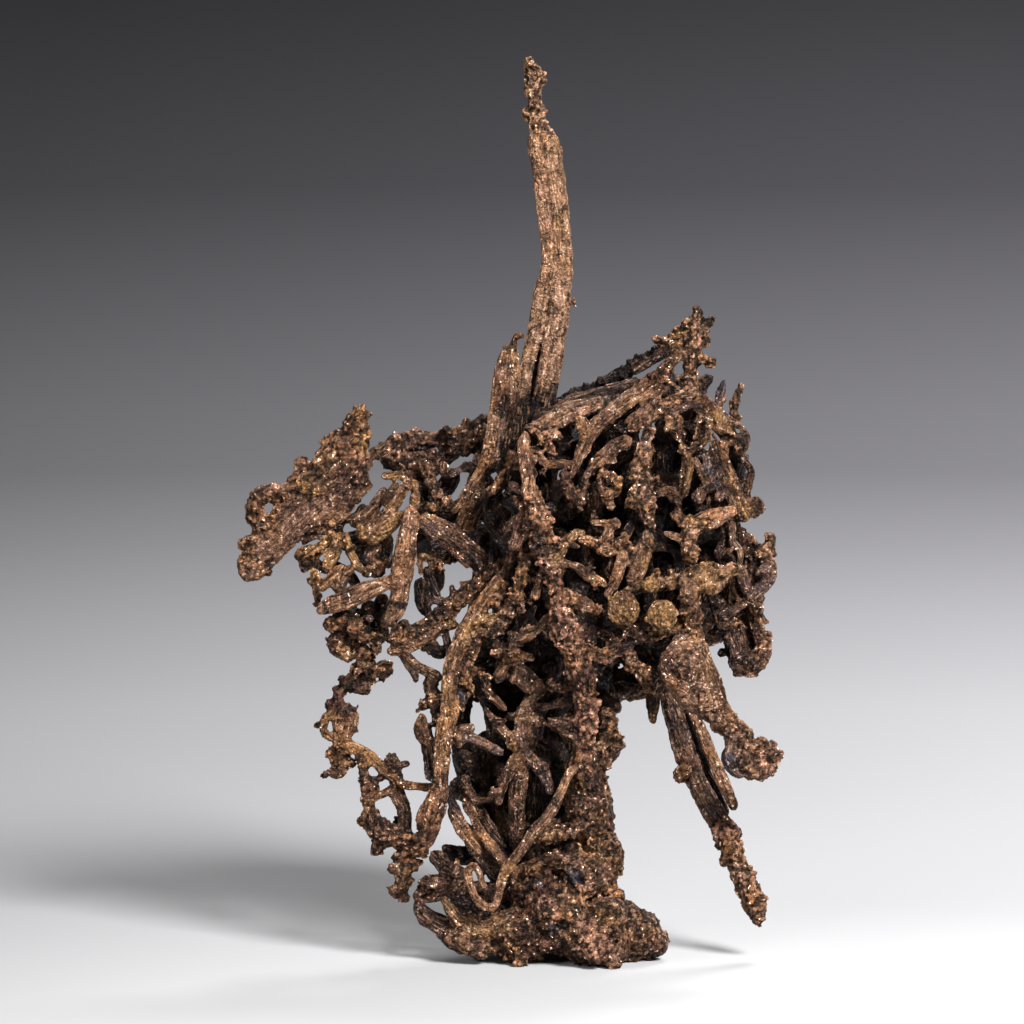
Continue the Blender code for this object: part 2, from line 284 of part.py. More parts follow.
REAR_FAN_STRANDS = [
    ((-6, -8, -10, -9, -6), [(3, 20, 2.2), (1.2, 24, 2.7), (-0.9, 29, 2.5), (-3.2, 34, 2.4),
                             (-2.6, 38.5, 2.8), (-3.9, 43, 2.2), (-3.2, 48, 2), (-2, 53, 1.2)]),
    ((-7, -11, -13, -10, -6), [(5, 19, 2.8), (5.6, 24, 3.1), (4.8, 29.5, 3.3), (3.9, 35.5, 2.9),
                               (4.4, 40, 3.1), (3.6, 45.5, 2.6), (4.6, 51, 2), (6.4, 54.6, 1.6)]),
    ((-7, -11, -13, -13, -6), [(6.6, 22, 2.6), (9.5, 28, 2.8), (12.3, 34.5, 3.1), (12.4, 39, 2.7),
                               (13.9, 43, 2.9), (12.9, 48, 2.3), (11.6, 54.6, 1.6)]),
    ((-8, -9, -11, -8, -5), [(8.6, 24, 2.2), (12.6, 28, 2.7), (17.4, 34, 2.8), (18.9, 39, 2.4),
                             (20.9, 43.5, 2.4), (22, 51.4, 1.2)]),
    ((-7, -9, -8, -5), [(10.4, 26, 2), (14.6, 26.8, 2.4), (18.4, 30.6, 2.1), (21.4, 32.6, 2.2),
                        (22.4, 36, 1.6)]),
    ((-8, -10, -13, -12, -8), [(-3.8, 43.8, 1.8), (0.4, 45.2, 2.3), (6.4, 46.3, 2.5), (10, 47.5, 2.2),
                               (14, 45.5, 2.5), (20.8, 43, 1.6)]),
    ((-9, -12, -14, -12, -8), [(-3.4, 34.6, 1.6), (1, 36.8, 2), (6.6, 38.8, 2.3), (10.4, 37.6, 2.1),
                               (14, 38.6, 2.3), (18.8, 36.2, 1.6)]),
    ((-5, -7, -6, -4), [(-2, 51.8, 1.4), (2.6, 52.8, 1.8), (8, 54.2, 2), (12, 55.2, 1.8),
                        (17.4, 57.4, 1.1)]),
    ((-7, -11, -14, -12), [(19.6, 50, 1.6), (15, 46.4, 1.9), (9.6, 42.2, 2.1), (5.4, 38.4, 1.7)]),
    ((-7, -9, -12), [(-2.8, 47.6, 1.6), (0.4, 42.6, 1.9), (4, 35, 1.7)]),
    ((-8, -12, -11, -9), [(-0.4, 26.4, 1.6), (5, 29, 2), (11.2, 31.2, 2.1), (15.6, 30, 1.4)]),
    ((-11, -15, -17), [(4.2, 41.4, 2), (6.8, 43.6, 1.6), (8.6, 44, 1)]),
    ((-12, -15, -16), [(12.4, 35, 2), (15, 34.2, 1.6), (16.4, 32.6, 1)]),
    ((-10.5, -5), [(5.2, 26.4, 2.4), (4.2, 26, 2.6)]),
    ((-12.5, -5), [(12.6, 40, 2.2), (11.4, 40.4, 2.6)]),
]

REAR_PROP_STRANDS = [
    ((-5, -8, -9, -9), [(4.6, 24, 2.8), (4.4, 18, 3.1), (4, 12, 3.2), (3.8, 6, 3.4)]),
    ((-6, -9, -8), [(9, 24, 2), (8.2, 17, 2.4), (6.6, 10, 2.6), (5.4, 5, 2.4)]),
    ((-5, -7, -8), [(0.6, 22, 2), (0.6, 15, 2.2), (2, 9, 2.4), (3, 5, 2.2)]),
]

# Each branch: its strands, its lumps and the colour of its finish
BRANCHES = [
    ("base", BASE_STRANDS, BASE_LUMPS, (0.19, 0.115, 0.075)),
    ("trunk", TRUNK_STRANDS, [], (0.07, 0.05, 0.045)),
    ("tall_spike", TALL_SPIKE_STRANDS, [], (0.30, 0.20, 0.13)),
    ("short_spike", SHORT_SPIKE_STRANDS, [], (0.20, 0.13, 0.09)),
    ("front_stem", FRONT_STEM_STRANDS, [], (0.33, 0.19, 0.13)),
    ("long_wire", LONG_WIRE_STRANDS, [], (0.24, 0.15, 0.11)),
    ("hook_wire", HOOK_WIRE_STRANDS, [], (0.30, 0.22, 0.14)),
    ("crown", CROWN_STRANDS, [], (0.22, 0.14, 0.10)),
    ("right_finger", RIGHT_FINGER_STRANDS, FINGER_LUMPS, (0.28, 0.18, 0.10)),
    ("right_cage", RIGHT_CAGE_STRANDS, [], (0.24, 0.15, 0.11)),
    ("right_leg", RIGHT_LEG_STRANDS, [], (0.18, 0.12, 0.09)),
    ("right_edge", RIGHT_EDGE_STRANDS, [], (0.20, 0.13, 0.10)),
    ("left_fan", LEFT_FAN_STRANDS, [], (0.24, 0.15, 0.10)),
    ("left_arm", LEFT_ARM_STRANDS, [], (0.27, 0.15, 0.10)),
    ("left_chain", LEFT_CHAIN_STRANDS, [], (0.25, 0.15, 0.10)),
    ("rear_prop", REAR_PROP_STRANDS, [], (0.16, 0.10, 0.08)),
    ("rear_fan", REAR_FAN_STRANDS, [], (0.20, 0.13, 0.09)),
]


def place(u, v, depth):
    """The point of the object that the sheet shows at (u, v), this far forward."""
    height = (v + depth * math.sin(VIEW_ANGLE)) / math.cos(VIEW_ANGLE)
    return Vector((u, -depth, height))


def depth_at(depths, share):
    spread = share * (len(depths) - 1)
    low = min(int(spread), max(len(depths) - 2, 0))
    high = min(low + 1, len(depths) - 1)
    return depths[low] + (depths[high] - depths[low]) * (spread - low)


def sides_for(width):
    if width < THIN_WIRE:
        return 4
    return 5 if width < MIDDLE_WIRE else 6


def strand_mesh(depths, points, grow=0.0):
    """A closed faceted strand along the points, its width across the view."""
    last = len(points) - 1
    centres = [place(u, v, depth_at(depths, i / last)) for i, (u, v, _) in enumerate(points)]
    ways = [(centres[min(i + 1, last)] - centres[max(i - 1, 0)]).normalized() for i in range(len(points))]
    sides = sides_for(max(width for _, _, width in points))
    fullness = math.sqrt(2 * math.pi / (sides * math.sin(2 * math.pi / sides)))  # as full as a round wire
    forward = Vector((0.0, -1.0, 0.0))
    bm = bmesh.new()
    rings = []
    for centre, way, (_, _, width) in zip(centres, ways, points):
        across = way.cross(forward)
        if across.length < 0.25:
            across = way.cross(Vector((0.0, 0.0, 1.0)))
        across.normalize()
        through = across.cross(way).normalized()
        ring = []
        for side in range(sides):
            angle = 2 * math.pi * (side + 0.5) / sides
            uneven = 1 + ROUGHNESS * noise.noise(centre * 0.9 + Vector((side * 3.1, 0.0, 0.0)))
            half = width / 2 * fullness * uneven + grow
            thin = width / 2 * fullness * WIRE_FLATNESS * uneven + grow
            spot = centre + across * math.cos(angle) * half + through * math.sin(angle) * thin
            ring.append(bm.verts.new(spot))
        rings.append(ring)
    for low, high in zip(rings, rings[1:]):
        for side in range(sides):
            after = (side + 1) % sides
            bm.faces.new((low[side], low[after], high[after], high[side]))
    for ring, centre, way, width in (
        (rings[0], centres[0], -ways[0], points[0][2]),
        (rings[-1], centres[-1], ways[-1], points[-1][2]),
    ):
        tip = bm.verts.new(centre + way * (width * 0.3 + grow))
        for side in range(sides):
            bm.faces.new((ring[side], ring[(side + 1) % sides], tip))
    bmesh.ops.recalc_face_normals(bm, faces=bm.faces)
    return bm


def lump_mesh(centre, halves, grow=0.0):
    """A closed knobbly lump."""
    middle = place(*centre)
    bm = bmesh.new()
    detail = 3 if max(halves) > BIG_LUMP else 2 if max(halves) > SMALL_LUMP else 1
    bmesh.ops.create_icosphere(bm, subdivisions=detail, radius=1.0)
    for vert in bm.verts:
        way = vert.co.normalized()
        spot = Vector((way.x * halves[0], way.y * halves[2], way.z * halves[1]))
        knobs = 1 + 0.34 * noise.noise((spot + middle) * 0.37) + 0.3 * noise.noise((spot + middle) * 0.83)
        vert.co = middle + spot * knobs + way * grow
    bmesh.ops.recalc_face_normals(bm, faces=bm.faces)
    return bm


def solid_object(name, bm):
    """The mesh as an object, in metres and with the origin under the middle of the nugget."""
    bmesh.ops.translate(bm, vec=(-MIDDLE_ACROSS, MIDDLE_DEPTH, 0.0), verts=bm.verts)
    bmesh.ops.scale(bm, vec=(UNIT,) * 3, verts=bm.verts)
    bmesh.ops.triangulate(bm, faces=bm.faces)
    mesh = bpy.data.meshes.new(name)
    bm.to_mesh(mesh)
    bm.free()
    obj = bpy.data.objects.new(name, mesh)
    bpy.context.scene.collection.objects.link(obj)
    return obj


def members(name, strands, lumps, grow=0.0):
    """One object for every strand and lump of a branch."""
    made = [solid_object(name, strand_mesh(depths, points, grow)) for depths, points in strands]
    return made + [solid_object(name, lump_mesh(centre, halves, grow)) for centre, halves in lumps]


def box_of(obj):
    corners = [vert.co for vert in obj.data.vertices]
    return [(min(c[axis] for c in corners), max(c[axis] for c in corners)) for axis in range(3)]


def boxes_meet(first, second):
    return all(a[0] <= b[1] and b[0] <= a[1] for a, b in zip(first, second))


def evaluated_mesh(obj):
    graph = bpy.context.evaluated_depsgraph_get()
    return bpy.data.meshes.new_from_object(obj.evaluated_get(graph))


def is_closed(mesh):
    bm = bmesh.new()
    bm.from_mesh(mesh)
    closed = all(edge.is_manifold for edge in bm.edges)
    bm.free()
    return closed


def thin_out(obj):
    """Takes out the smallest of the facets that joining the strands leaves."""
    decimate = obj.modifiers.new("thin_out", "DECIMATE")
    decimate.ratio = FACETS_KEPT
    obj.data = evaluated_mesh(obj)
    obj.modifiers.remove(decimate)


def combine(target, others, operation):
    """Applies one Boolean of all the others to the target, and removes the others."""
    if others:
        group = bpy.data.collections.new("operands")
        bpy.context.scene.collection.children.link(group)
        for other in others:
            group.objects.link(other)
        boolean = target.modifiers.new(operation, "BOOLEAN")
        boolean.operation = operation
        boolean.operand_type = "COLLECTION"
        boolean.collection = group
        boolean.solver = "EXACT"
        boolean.use_self = True
        mesh = evaluated_mesh(target)
        if not is_closed(mesh):
            boolean.solver = "MANIFOLD"
            mesh = evaluated_mesh(target)
        target.modifiers.remove(boolean)
        target.data = mesh
        bpy.data.collections.remove(group)
        for other in others:
            bpy.data.objects.remove(other)


def keep_largest_piece(obj):
    """Removes the slivers that trimming leaves beside the branch."""
    bm = bmesh.new()
    bm.from_mesh(obj.data)
    bmesh.ops.remove_doubles(bm, verts=bm.verts, dist=1e-7)
    pieces = []
    unseen = set(bm.verts)
    while unseen:
        piece, front = set(), [unseen.pop()]
        while front:
            vert = front.pop()
            piece.add(vert)
            for edge in vert.link_edges:
                other = edge.other_vert(vert)
                if other in unseen:
                    unseen.discard(other)
                    front.append(other)
        pieces.append(piece)
    pieces.sort(key=len, reverse=True)
    loose = [vert for piece in pieces[1:] for vert in piece]
    bmesh.ops.delete(bm, geom=loose, context="VERTS")
    bmesh.ops.triangulate(bm, faces=bm.faces)
    bm.to_mesh(obj.data)
    bm.free()


def cut_flat_at_floor(obj):
    """The feet are worn flat where the nugget rests."""
    bm = bmesh.new()
    bmesh.ops.create_cube(bm, size=1.0)
    bmesh.ops.scale(bm, vec=(60.0, 60.0, 8.0), verts=bm.verts)
    bmesh.ops.translate(bm, vec=(0.0, 0.0, -4.0), verts=bm.verts)
    combine(obj, [solid_object("floor_cutter", bm)], "DIFFERENCE")


def finish(name, colour):
    material = bpy.data.materials.new(name + "_copper")
    material.use_nodes = True
    shader = material.node_tree.nodes["Principled BSDF"]
    shader.inputs["Base Color"].default_value = (*colour, 1.0)
    shader.inputs["Metallic"].default_value = 0.85
    shader.inputs["Roughness"].default_value = 0.5
    return material


def build():
    for obj in list(bpy.data.objects):
        bpy.data.objects.remove(obj)
    neighbours = []
    for name, strands, lumps, colour in BRANCHES:
        parts = members(name, strands, lumps)
        own_boxes = [box_of(part) for part in parts]
        branch, others = parts[0], parts[1:]
        combine(branch, others, "UNION")
        thin_out(branch)
        cutters = []
        for strand_list, lump_list in neighbours:
            for cutter in members("cutter", strand_list, lump_list, GAP_ALLOWANCE):
                if any(boxes_meet(box_of(cutter), own) for own in own_boxes):
                    cutters.append(cutter)
                else:
                    bpy.data.objects.remove(cutter)
        combine(branch, cutters, "DIFFERENCE")
        if name == "base":
            cut_flat_at_floor(branch)
        keep_largest_piece(branch)
        branch.name = name
        branch.data.name = name
        branch.data.materials.clear()
        branch.data.materials.append(finish(name, colour))
        neighbours.append((strands, lumps))


build()
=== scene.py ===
import math
import random
from functools import partial

import bpy
import numpy as np
from mathutils import Matrix, Vector, kdtree


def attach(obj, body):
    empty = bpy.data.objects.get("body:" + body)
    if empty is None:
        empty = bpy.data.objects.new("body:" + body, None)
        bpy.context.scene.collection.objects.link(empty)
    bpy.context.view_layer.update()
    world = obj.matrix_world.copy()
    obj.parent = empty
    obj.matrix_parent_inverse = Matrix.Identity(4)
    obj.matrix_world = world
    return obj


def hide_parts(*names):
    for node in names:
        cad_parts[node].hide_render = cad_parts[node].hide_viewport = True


# A native copper nugget: wires, plates and knobs are laid out on a flat sheet in millimetres,
# u across, v up and depth towards the viewer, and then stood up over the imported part
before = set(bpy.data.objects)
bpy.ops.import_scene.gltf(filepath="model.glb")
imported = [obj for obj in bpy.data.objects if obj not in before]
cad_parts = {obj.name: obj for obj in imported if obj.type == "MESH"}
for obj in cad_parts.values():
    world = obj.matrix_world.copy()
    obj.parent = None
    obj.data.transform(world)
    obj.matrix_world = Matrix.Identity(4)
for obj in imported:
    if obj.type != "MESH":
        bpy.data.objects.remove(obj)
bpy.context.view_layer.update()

sheet = {
    "viewAngle": 8.0,  # degrees above the horizon that the sheet is looked at from
    "across": 0.17,  # mm from the sheet's middle to the part's origin
    "back": 1.84,  # the same along the depth
    "metres": 0.001,  # to one mm
}
surface = {
    "voxel": 0.17,  # mm, the size at which wires and knobs fuse
    "swell": 1.12,  # what the fused skin loses off a wire's width is put back
    "knotSteps": 6,
    "tipLength": 0.35,  # how far a wire's end runs on, over its width
    "crumb": 150,  # vertices, a loose island of fewer is dropped
    "station": 0.5,  # mm between the places that a wire is looked up at
    "fibre": (0.16, 0.02),  # how far the streaks are drawn out along a wire, and how they drift across it
}
# Twigs: how much they bend, their lengths and widths, and the same for the longer ones of a thicket
twigs = {
    "bend": (0.3, 0.3, 0.2), "length": (0.6, 1.7), "width": (0.55, 0.9),
    "thicketShortest": 1.5, "thicketLength": (3, 7), "thicketWidth": (0.9, 1.7),
}
# What the crust is made of, in mm, unless a branch says otherwise
crustValues = {
    "Lump Size": 1.7, "Lump Height": 0.32, "Grain Size": 0.5, "Grain Height": 0.24,
    "Fine Size": 0.3, "Fine Height": 0.1, "Groove Height": 0.34,
}
# Where painted shade darkens the inside, in mm: the width of gap that still counts as covered, how deep the
# skin stays bright, and how much deeper all is painted fully dark; and the map it is worked out on, with so
# many cells to a mm
shadeFrom = {"opening": 1.6, "skin": 1.8, "depth": 4.0, "cells": 2, "size": (160, 200), "shift": (40, 6)}

# Each kind of wire: thickness over width, ridges round it and how deep they are, nodules to a square mm,
# their smallest and largest size, how coarse its grain is and how strongly it is grooved along its length
wireKinds = {
    "smooth": {"flat": 0.78, "ribs": 3, "ribDepth": 0.16, "nodules": 0.02, "size": (0.15, 0.28),
               "coarse": 0.14, "groove": 0.8},
    "ribbed": {"flat": 0.72, "ribs": 5, "ribDepth": 0.26, "nodules": 0.03, "size": (0.12, 0.28),
               "coarse": 0.16, "groove": 1.0},
    "plate": {"flat": 0.45, "ribs": 2, "ribDepth": 0.1, "nodules": 0.12, "size": (0.15, 0.4),
              "coarse": 0.3, "groove": 0.2},
    "blade": {"flat": 0.42, "ribs": 4, "ribDepth": 0.2, "nodules": 0.02, "size": (0.12, 0.25),
              "coarse": 0.12, "groove": 1.0},
    "grain": {"flat": 0.85, "ribs": 2, "ribDepth": 0.06, "nodules": 0.4, "size": (0.2, 0.44),
              "coarse": 0.75, "groove": 0.25},
    "bead": {"flat": 0.95, "ribs": 0, "ribDepth": 0.0, "nodules": 1.9, "size": (0.22, 0.42),
             "coarse": 0.8, "groove": 0.0},
}
# Each tone: how golden, how dark, how blue and how pink
tones = {
    "brown": (0.0, 0.0, 0.0, 0.0),
    "tan": (0.3, 0.0, 0.0, 0.4),
    "gold": (1.0, 0.0, 0.0, 0.0),
    "olive": (0.7, 0.3, 0.0, 0.0),
    # dark is partly own dark tarnish, partly painted shade; black is mostly painted shade deep inside
    "dark": (0.0, 0.6, 0.1, 0.0),
    "black": (0.0, 1.0, 0.1, 0.0),
    "blue": (0.0, 0.55, 1.0, 0.0),
    "pink": (0.0, 0.0, 0.0, 1.0),
    "rust": (0.15, 0.15, 0.0, 0.6),
    "grey": (0.0, 0.35, 0.45, 0.15),
}
toneSpread = (0.14, 0.10, 0.08, 0.16)  # how much each differs from wire to wire


def deselectAll():
    bpy.ops.object.select_all(action="DESELECT")


def pick(*objs):
    deselectAll()
    for obj in objs:
        obj.select_set(True)
    bpy.context.view_layer.objects.active = objs[0]


def depthAt(depths, share):
    spread = share * (len(depths) - 1)
    low = min(int(spread), max(len(depths) - 2, 0))
    high = min(low + 1, len(depths) - 1)
    return depths[low] + (depths[high] - depths[low]) * (spread - low)


def routeOf(depths, points):
    last = len(points) - 1
    return [Vector((u, v, depthAt(depths, i / last))) for i, (u, v, _) in enumerate(points)]


# The cross-section that a kind of wire is drawn with: a circle pulled flat, with ridges round it
def makeProfile(name, kind):
    deselectAll()
    bpy.ops.curve.primitive_bezier_circle_add(radius=1)
    profile = bpy.context.object
    profile.name = name + "Profile"
    steps = 16
    spline = profile.data.splines.new("POLY")
    spline.points.add(steps - 1)
    for step, point in enumerate(spline.points):
        angle = 2 * math.pi * (step + 0.5) / steps
        reach = 1 - kind["ribDepth"] * (0.5 + 0.5 * math.cos(kind["ribs"] * angle + 0.6))
        point.co = (math.cos(angle) * reach, math.sin(angle) * reach * kind["flat"], 0, 1)
    spline.use_cyclic_u = True
    profile.data.splines.remove(profile.data.splines[0])
    return profile


profiles = {name: makeProfile(name, kind) for name, kind in wireKinds.items()}


# Every wire of one kind, swept along its route
def drawWires(kind, wires):
    deselectAll()
    bpy.ops.curve.primitive_bezier_curve_add()
    drawn = bpy.context.object
    drawn.data.splines.clear()
    for depths, _, _, points in wires:
        route = routeOf(depths, points)
        widths = [width for _, _, width in points]
        first = route[0] + (route[0] - route[1]).normalized() * widths[0] * surface["tipLength"]
        end = route[-1] + (route[-1] - route[-2]).normalized() * widths[-1] * surface["tipLength"]
        route = [first] + route + [end]
        widths = [widths[0] * 0.4] + widths + [widths[-1] * 0.4]
        spline = drawn.data.splines.new("BEZIER")
        spline.bezier_points.add(len(route) - 1)
        spline.radius_interpolation = "CARDINAL"
        lean = random.uniform(-0.35, 0.35)
        for knot, spot, width in zip(spline.bezier_points, route, widths):
            knot.co = spot
            knot.radius = width / 2 * surface["swell"]
            knot.tilt = lean + random.uniform(-0.2, 0.2)
            knot.handle_left_type = knot.handle_right_type = "AUTO"
    drawn.data.dimensions = "3D"
    drawn.data.twist_mode = "Z_UP"
    drawn.data.resolution_u = surface["knotSteps"]
    drawn.data.bevel_mode = "OBJECT"
    drawn.data.bevel_object = profiles[kind]
    drawn.data.use_fill_caps = True
    bpy.ops.object.convert(target="MESH")
    return bpy.context.object


# A rounded lump, knocked out of round by the crust later
def addLump(spot, halves, turn):
    deselectAll()
    bpy.ops.mesh.primitive_ico_sphere_add(subdivisions=3, radius=1)
    lump = bpy.context.object
    lump.data.transform(Matrix.LocRotScale(Vector(spot), turn, Vector(halves)))
    return lump


def randomTurn(amount):
    x, y, z = (Matrix.Rotation(random.uniform(-amount, amount), 3, axis) for axis in "XYZ")
    return (x @ y @ z).to_quaternion()


def joinInput(tree, value, socket):
    if isinstance(value, (int, float, tuple)):
        socket.default_value = value
    else:
        tree.links.new(value, socket)


def mathNode(tree, operation, first, second):
    node = tree.nodes.new("ShaderNodeMath")
    node.operation = operation
    joinInput(tree, first, node.inputs[0])
    joinInput(tree, second, node.inputs[1])
    return node.outputs[0]


def vectorNode(tree, operation, first, second):
    node = tree.nodes.new("ShaderNodeVectorMath")
    node.operation = operation
    joinInput(tree, first, node.inputs[0])
    joinInput(tree, second, node.inputs["Scale" if operation == "SCALE" else 1])
    return node.outputs["Value" if operation == "DOT_PRODUCT" else "Vector"]


# Times and plus, which most of the nodes are
def arithmetic(tree):
    return partial(mathNode, tree, "MULTIPLY"), partial(mathNode, tree, "ADD")


def spreadNode(tree, value, low, high, bottom=0.0, top=1.0):
    node = tree.nodes.new("ShaderNodeMapRange")
    for name, number in (("From Min", low), ("From Max", high), ("To Min", bottom), ("To Max", top)):
        node.inputs[name].default_value = number
    tree.links.new(value, node.inputs["Value"])
    return node.outputs["Result"]


def noiseNode(tree, place, scale, detail):
    node = tree.nodes.new("ShaderNodeTexNoise")
    joinInput(tree, place, node.inputs["Vector"])
    joinInput(tree, scale, node.inputs["Scale"])
    node.inputs["Detail"].default_value = detail
    return node.outputs[0]


# An empty node group with its sockets, and the two nodes that its insides are joined to
def newTree(name, kind, inputs, outputs):
    tree = bpy.data.node_groups.new(name, kind)
    for way, sockets in (("INPUT", inputs), ("OUTPUT", outputs)):
        for socket, value in sockets.items():
            tree.interface.new_socket(socket, in_out=way, socket_type="NodeSocket" + value)
    return tree, tree.nodes.new("NodeGroupInput").outputs, tree.nodes.new("NodeGroupOutput").inputs


# Cells that are each a crystal with its own height and its own tilt
def crystalNodes(tree, place, scale):
    cell = tree.nodes.new("ShaderNodeTexVoronoi")
    joinInput(tree, place, cell.inputs["Vector"])
    joinInput(tree, scale, cell.inputs["Scale"])
    away = vectorNode(tree, "SUBTRACT", place, cell.outputs["Position"])
    lean = vectorNode(tree, "SUBTRACT", cell.outputs["Color"], (0.5, 0.5, 0.5))
    parts = tree.nodes.new("ShaderNodeSeparateXYZ")
    tree.links.new(lean, parts.inputs[0])
    times, plus = arithmetic(tree)
    slope = times(vectorNode(tree, "DOT_PRODUCT", away, lean), scale)
    rise = plus(times(parts.outputs[0], 0.9), times(slope, 1.6))
    return mathNode(tree, "SUBTRACT", rise, times(cell.outputs["Distance"], 0.5)), parts.outputs


# Small balls scattered over a mesh, kept as real mesh
def makeNoduleTree():
    inputs = {"Geometry": "Geometry", "Density": "Float", "Smallest": "Float", "Largest": "Float",
              "Seed": "Int"}
    tree, come, go = newTree("scatterNodules", "GeometryNodeTree", inputs, {"Geometry": "Geometry"})
    scatter = tree.nodes.new("GeometryNodeDistributePointsOnFaces")
    ball = tree.nodes.new("GeometryNodeMeshIcoSphere")
    ball.inputs["Radius"].default_value = 1.0
    ball.inputs["Subdivisions"].default_value = 2
    size = tree.nodes.new("FunctionNodeRandomValue")
    stretch = tree.nodes.new("FunctionNodeRandomValue")
    stretch.data_type = "FLOAT_VECTOR"
    stretch.inputs[0].default_value = (0.7,) * 3
    stretch.inputs[1].default_value = (1.25,) * 3
    scale = tree.nodes.new("ShaderNodeVectorMath")
    scale.operation = "SCALE"
    place = tree.nodes.new("GeometryNodeInstanceOnPoints")
    real = tree.nodes.new("GeometryNodeRealizeInstances")
    both = tree.nodes.new("GeometryNodeJoinGeometry")
    for result, socket in (
        (come["Geometry"], scatter.inputs["Mesh"]), (come["Density"], scatter.inputs["Density"]),
        (come["Seed"], scatter.inputs["Seed"]), (come["Seed"], size.inputs["Seed"]),
        (come["Smallest"], size.inputs[2]), (come["Largest"], size.inputs[3]),
        (stretch.outputs[0], scale.inputs[0]), (size.outputs[1], scale.inputs["Scale"]),
        (scatter.outputs["Points"], place.inputs["Points"]), (scale.outputs[0], place.inputs["Scale"]),
        (ball.outputs["Mesh"], place.inputs["Instance"]), (place.outputs[0], real.inputs[0]),
        (real.outputs[0], both.inputs[0]), (come["Geometry"], both.inputs[0]), (both.outputs[0], go[0]),
    ):
        tree.links.new(result, socket)
    return tree


# Lumps, crystal faces and grooves pushed out of a fused mesh; how proud each spot stands is kept as "grain"
def makeCrustTree():
    inputs = {"Geometry": "Geometry"} | {name: "Float" for name in crustValues}
    tree, come, go = newTree("growCrust", "GeometryNodeTree", inputs, {"Geometry": "Geometry"})
    times, plus = arithmetic(tree)
    links = tree.links
    position = tree.nodes.new("GeometryNodeInputPosition").outputs[0]

    def stored(name, kind, turns=0):
        node = tree.nodes.new("GeometryNodeInputNamedAttribute")
        node.data_type = kind
        node.inputs["Name"].default_value = name
        if not turns:
            return node.outputs["Attribute"]
        soften = tree.nodes.new("GeometryNodeBlurAttribute")
        soften.data_type = kind
        soften.inputs["Iterations"].default_value = turns
        links.new(node.outputs["Attribute"], soften.inputs[0])
        return soften.outputs[0]

    coarse = stored("coarse", "FLOAT", 4)
    swell = noiseNode(tree, position, mathNode(tree, "DIVIDE", 1.0, come["Lump Size"]), 2.0)
    grain, _ = crystalNodes(tree, position, mathNode(tree, "DIVIDE", 1.0, come["Grain Size"]))
    fine, _ = crystalNodes(tree, position, mathNode(tree, "DIVIDE", 1.0, come["Fine Size"]))
    furrow = plus(noiseNode(tree, stored("fibre", "FLOAT_VECTOR"), 2.6, 2.0), -0.5)
    furrow = times(furrow, stored("groove", "FLOAT", 3))
    rough = times(plus(times(grain, come["Grain Height"]), times(fine, come["Fine Height"])), coarse)
    height = plus(times(plus(swell, -0.5), come["Lump Height"]), rough)
    height = plus(height, times(furrow, come["Groove Height"]))
    proud = plus(plus(times(grain, coarse), times(fine, 0.25)), times(furrow, 1.6))

    store = tree.nodes.new("GeometryNodeStoreNamedAttribute")
    store.data_type = "FLOAT"
    store.inputs["Name"].default_value = "grain"
    links.new(come["Geometry"], store.inputs["Geometry"])
    links.new(plus(times(proud, 0.7), 0.65), store.inputs["Value"])
    move = tree.nodes.new("GeometryNodeSetPosition")
    normal = tree.nodes.new("GeometryNodeInputNormal").outputs[0]
    links.new(store.outputs[0], move.inputs["Geometry"])
    links.new(vectorNode(tree, "SCALE", normal, height), move.inputs["Offset"])
    links.new(move.outputs[0], go[0])
    return tree


noduleTree = makeNoduleTree()
crustTree = makeCrustTree()


def applyNodes(obj, tree, **values):
    modifier = obj.modifiers.new(tree.name, "NODES")
    modifier.node_group = tree
    for item in tree.interface.items_tree:
        if item.in_out == "INPUT" and item.name in values:
            modifier[item.identifier] = values[item.name]
    pick(obj)
    bpy.ops.object.modifier_apply(modifier=modifier.name)


def fuse(obj, voxel):
    remesh = obj.modifiers.new("fuse", "REMESH")
    remesh.mode = "VOXEL"
    remesh.voxel_size = voxel
    remesh.use_smooth_shade = True
    pick(obj)
    bpy.ops.object.modifier_apply(modifier=remesh.name)


# Deletes the crumbs that hang loose after the fuse
def dropCrumbs(obj):
    mesh = obj.data
    ends = np.empty(len(mesh.edges) * 2, dtype=np.int32)
    mesh.edges.foreach_get("vertices", ends)
    low, high = ends.reshape(-1, 2).T
    island = np.arange(len(mesh.vertices))
    while (island[low] != island[high]).any():
        one, two = island[low], island[high]
        lesser = np.minimum(one, two)
        np.minimum.at(island, one, lesser)
        np.minimum.at(island, two, lesser)
        while (island != island[island]).any():
            island = island[island]
    crumbs = np.bincount(island, minlength=len(island))[island] < surface["crumb"]
    if crumbs.any():
        pick(obj)
        bpy.ops.object.mode_set(mode="EDIT")
        bpy.ops.mesh.select_mode(type="VERT")
        bpy.ops.mesh.select_all(action="DESELECT")
        bpy.ops.object.mode_set(mode="OBJECT")
        mesh.vertices.foreach_set("select", crumbs)
        bpy.ops.object.mode_set(mode="EDIT")
        bpy.ops.mesh.delete(type="VERT")
        bpy.ops.object.mode_set(mode="OBJECT")


def meanWidth(points):
    return sum(width for _, _, width in points) / len(points)


# Points along a wire's route, each with the direction there and the distance from its start
def stationsOf(route):
    stations = []
    run = 0.0
    for low, high in zip(route, route[1:]):
        step = high - low
        count = max(2, math.ceil(step.length / surface["station"]))
        stations += [(low + step * (i / count), step.normalized(), run + step.length * i / count)
                     for i in range(count + 1)]
        run += step.length
    return stations
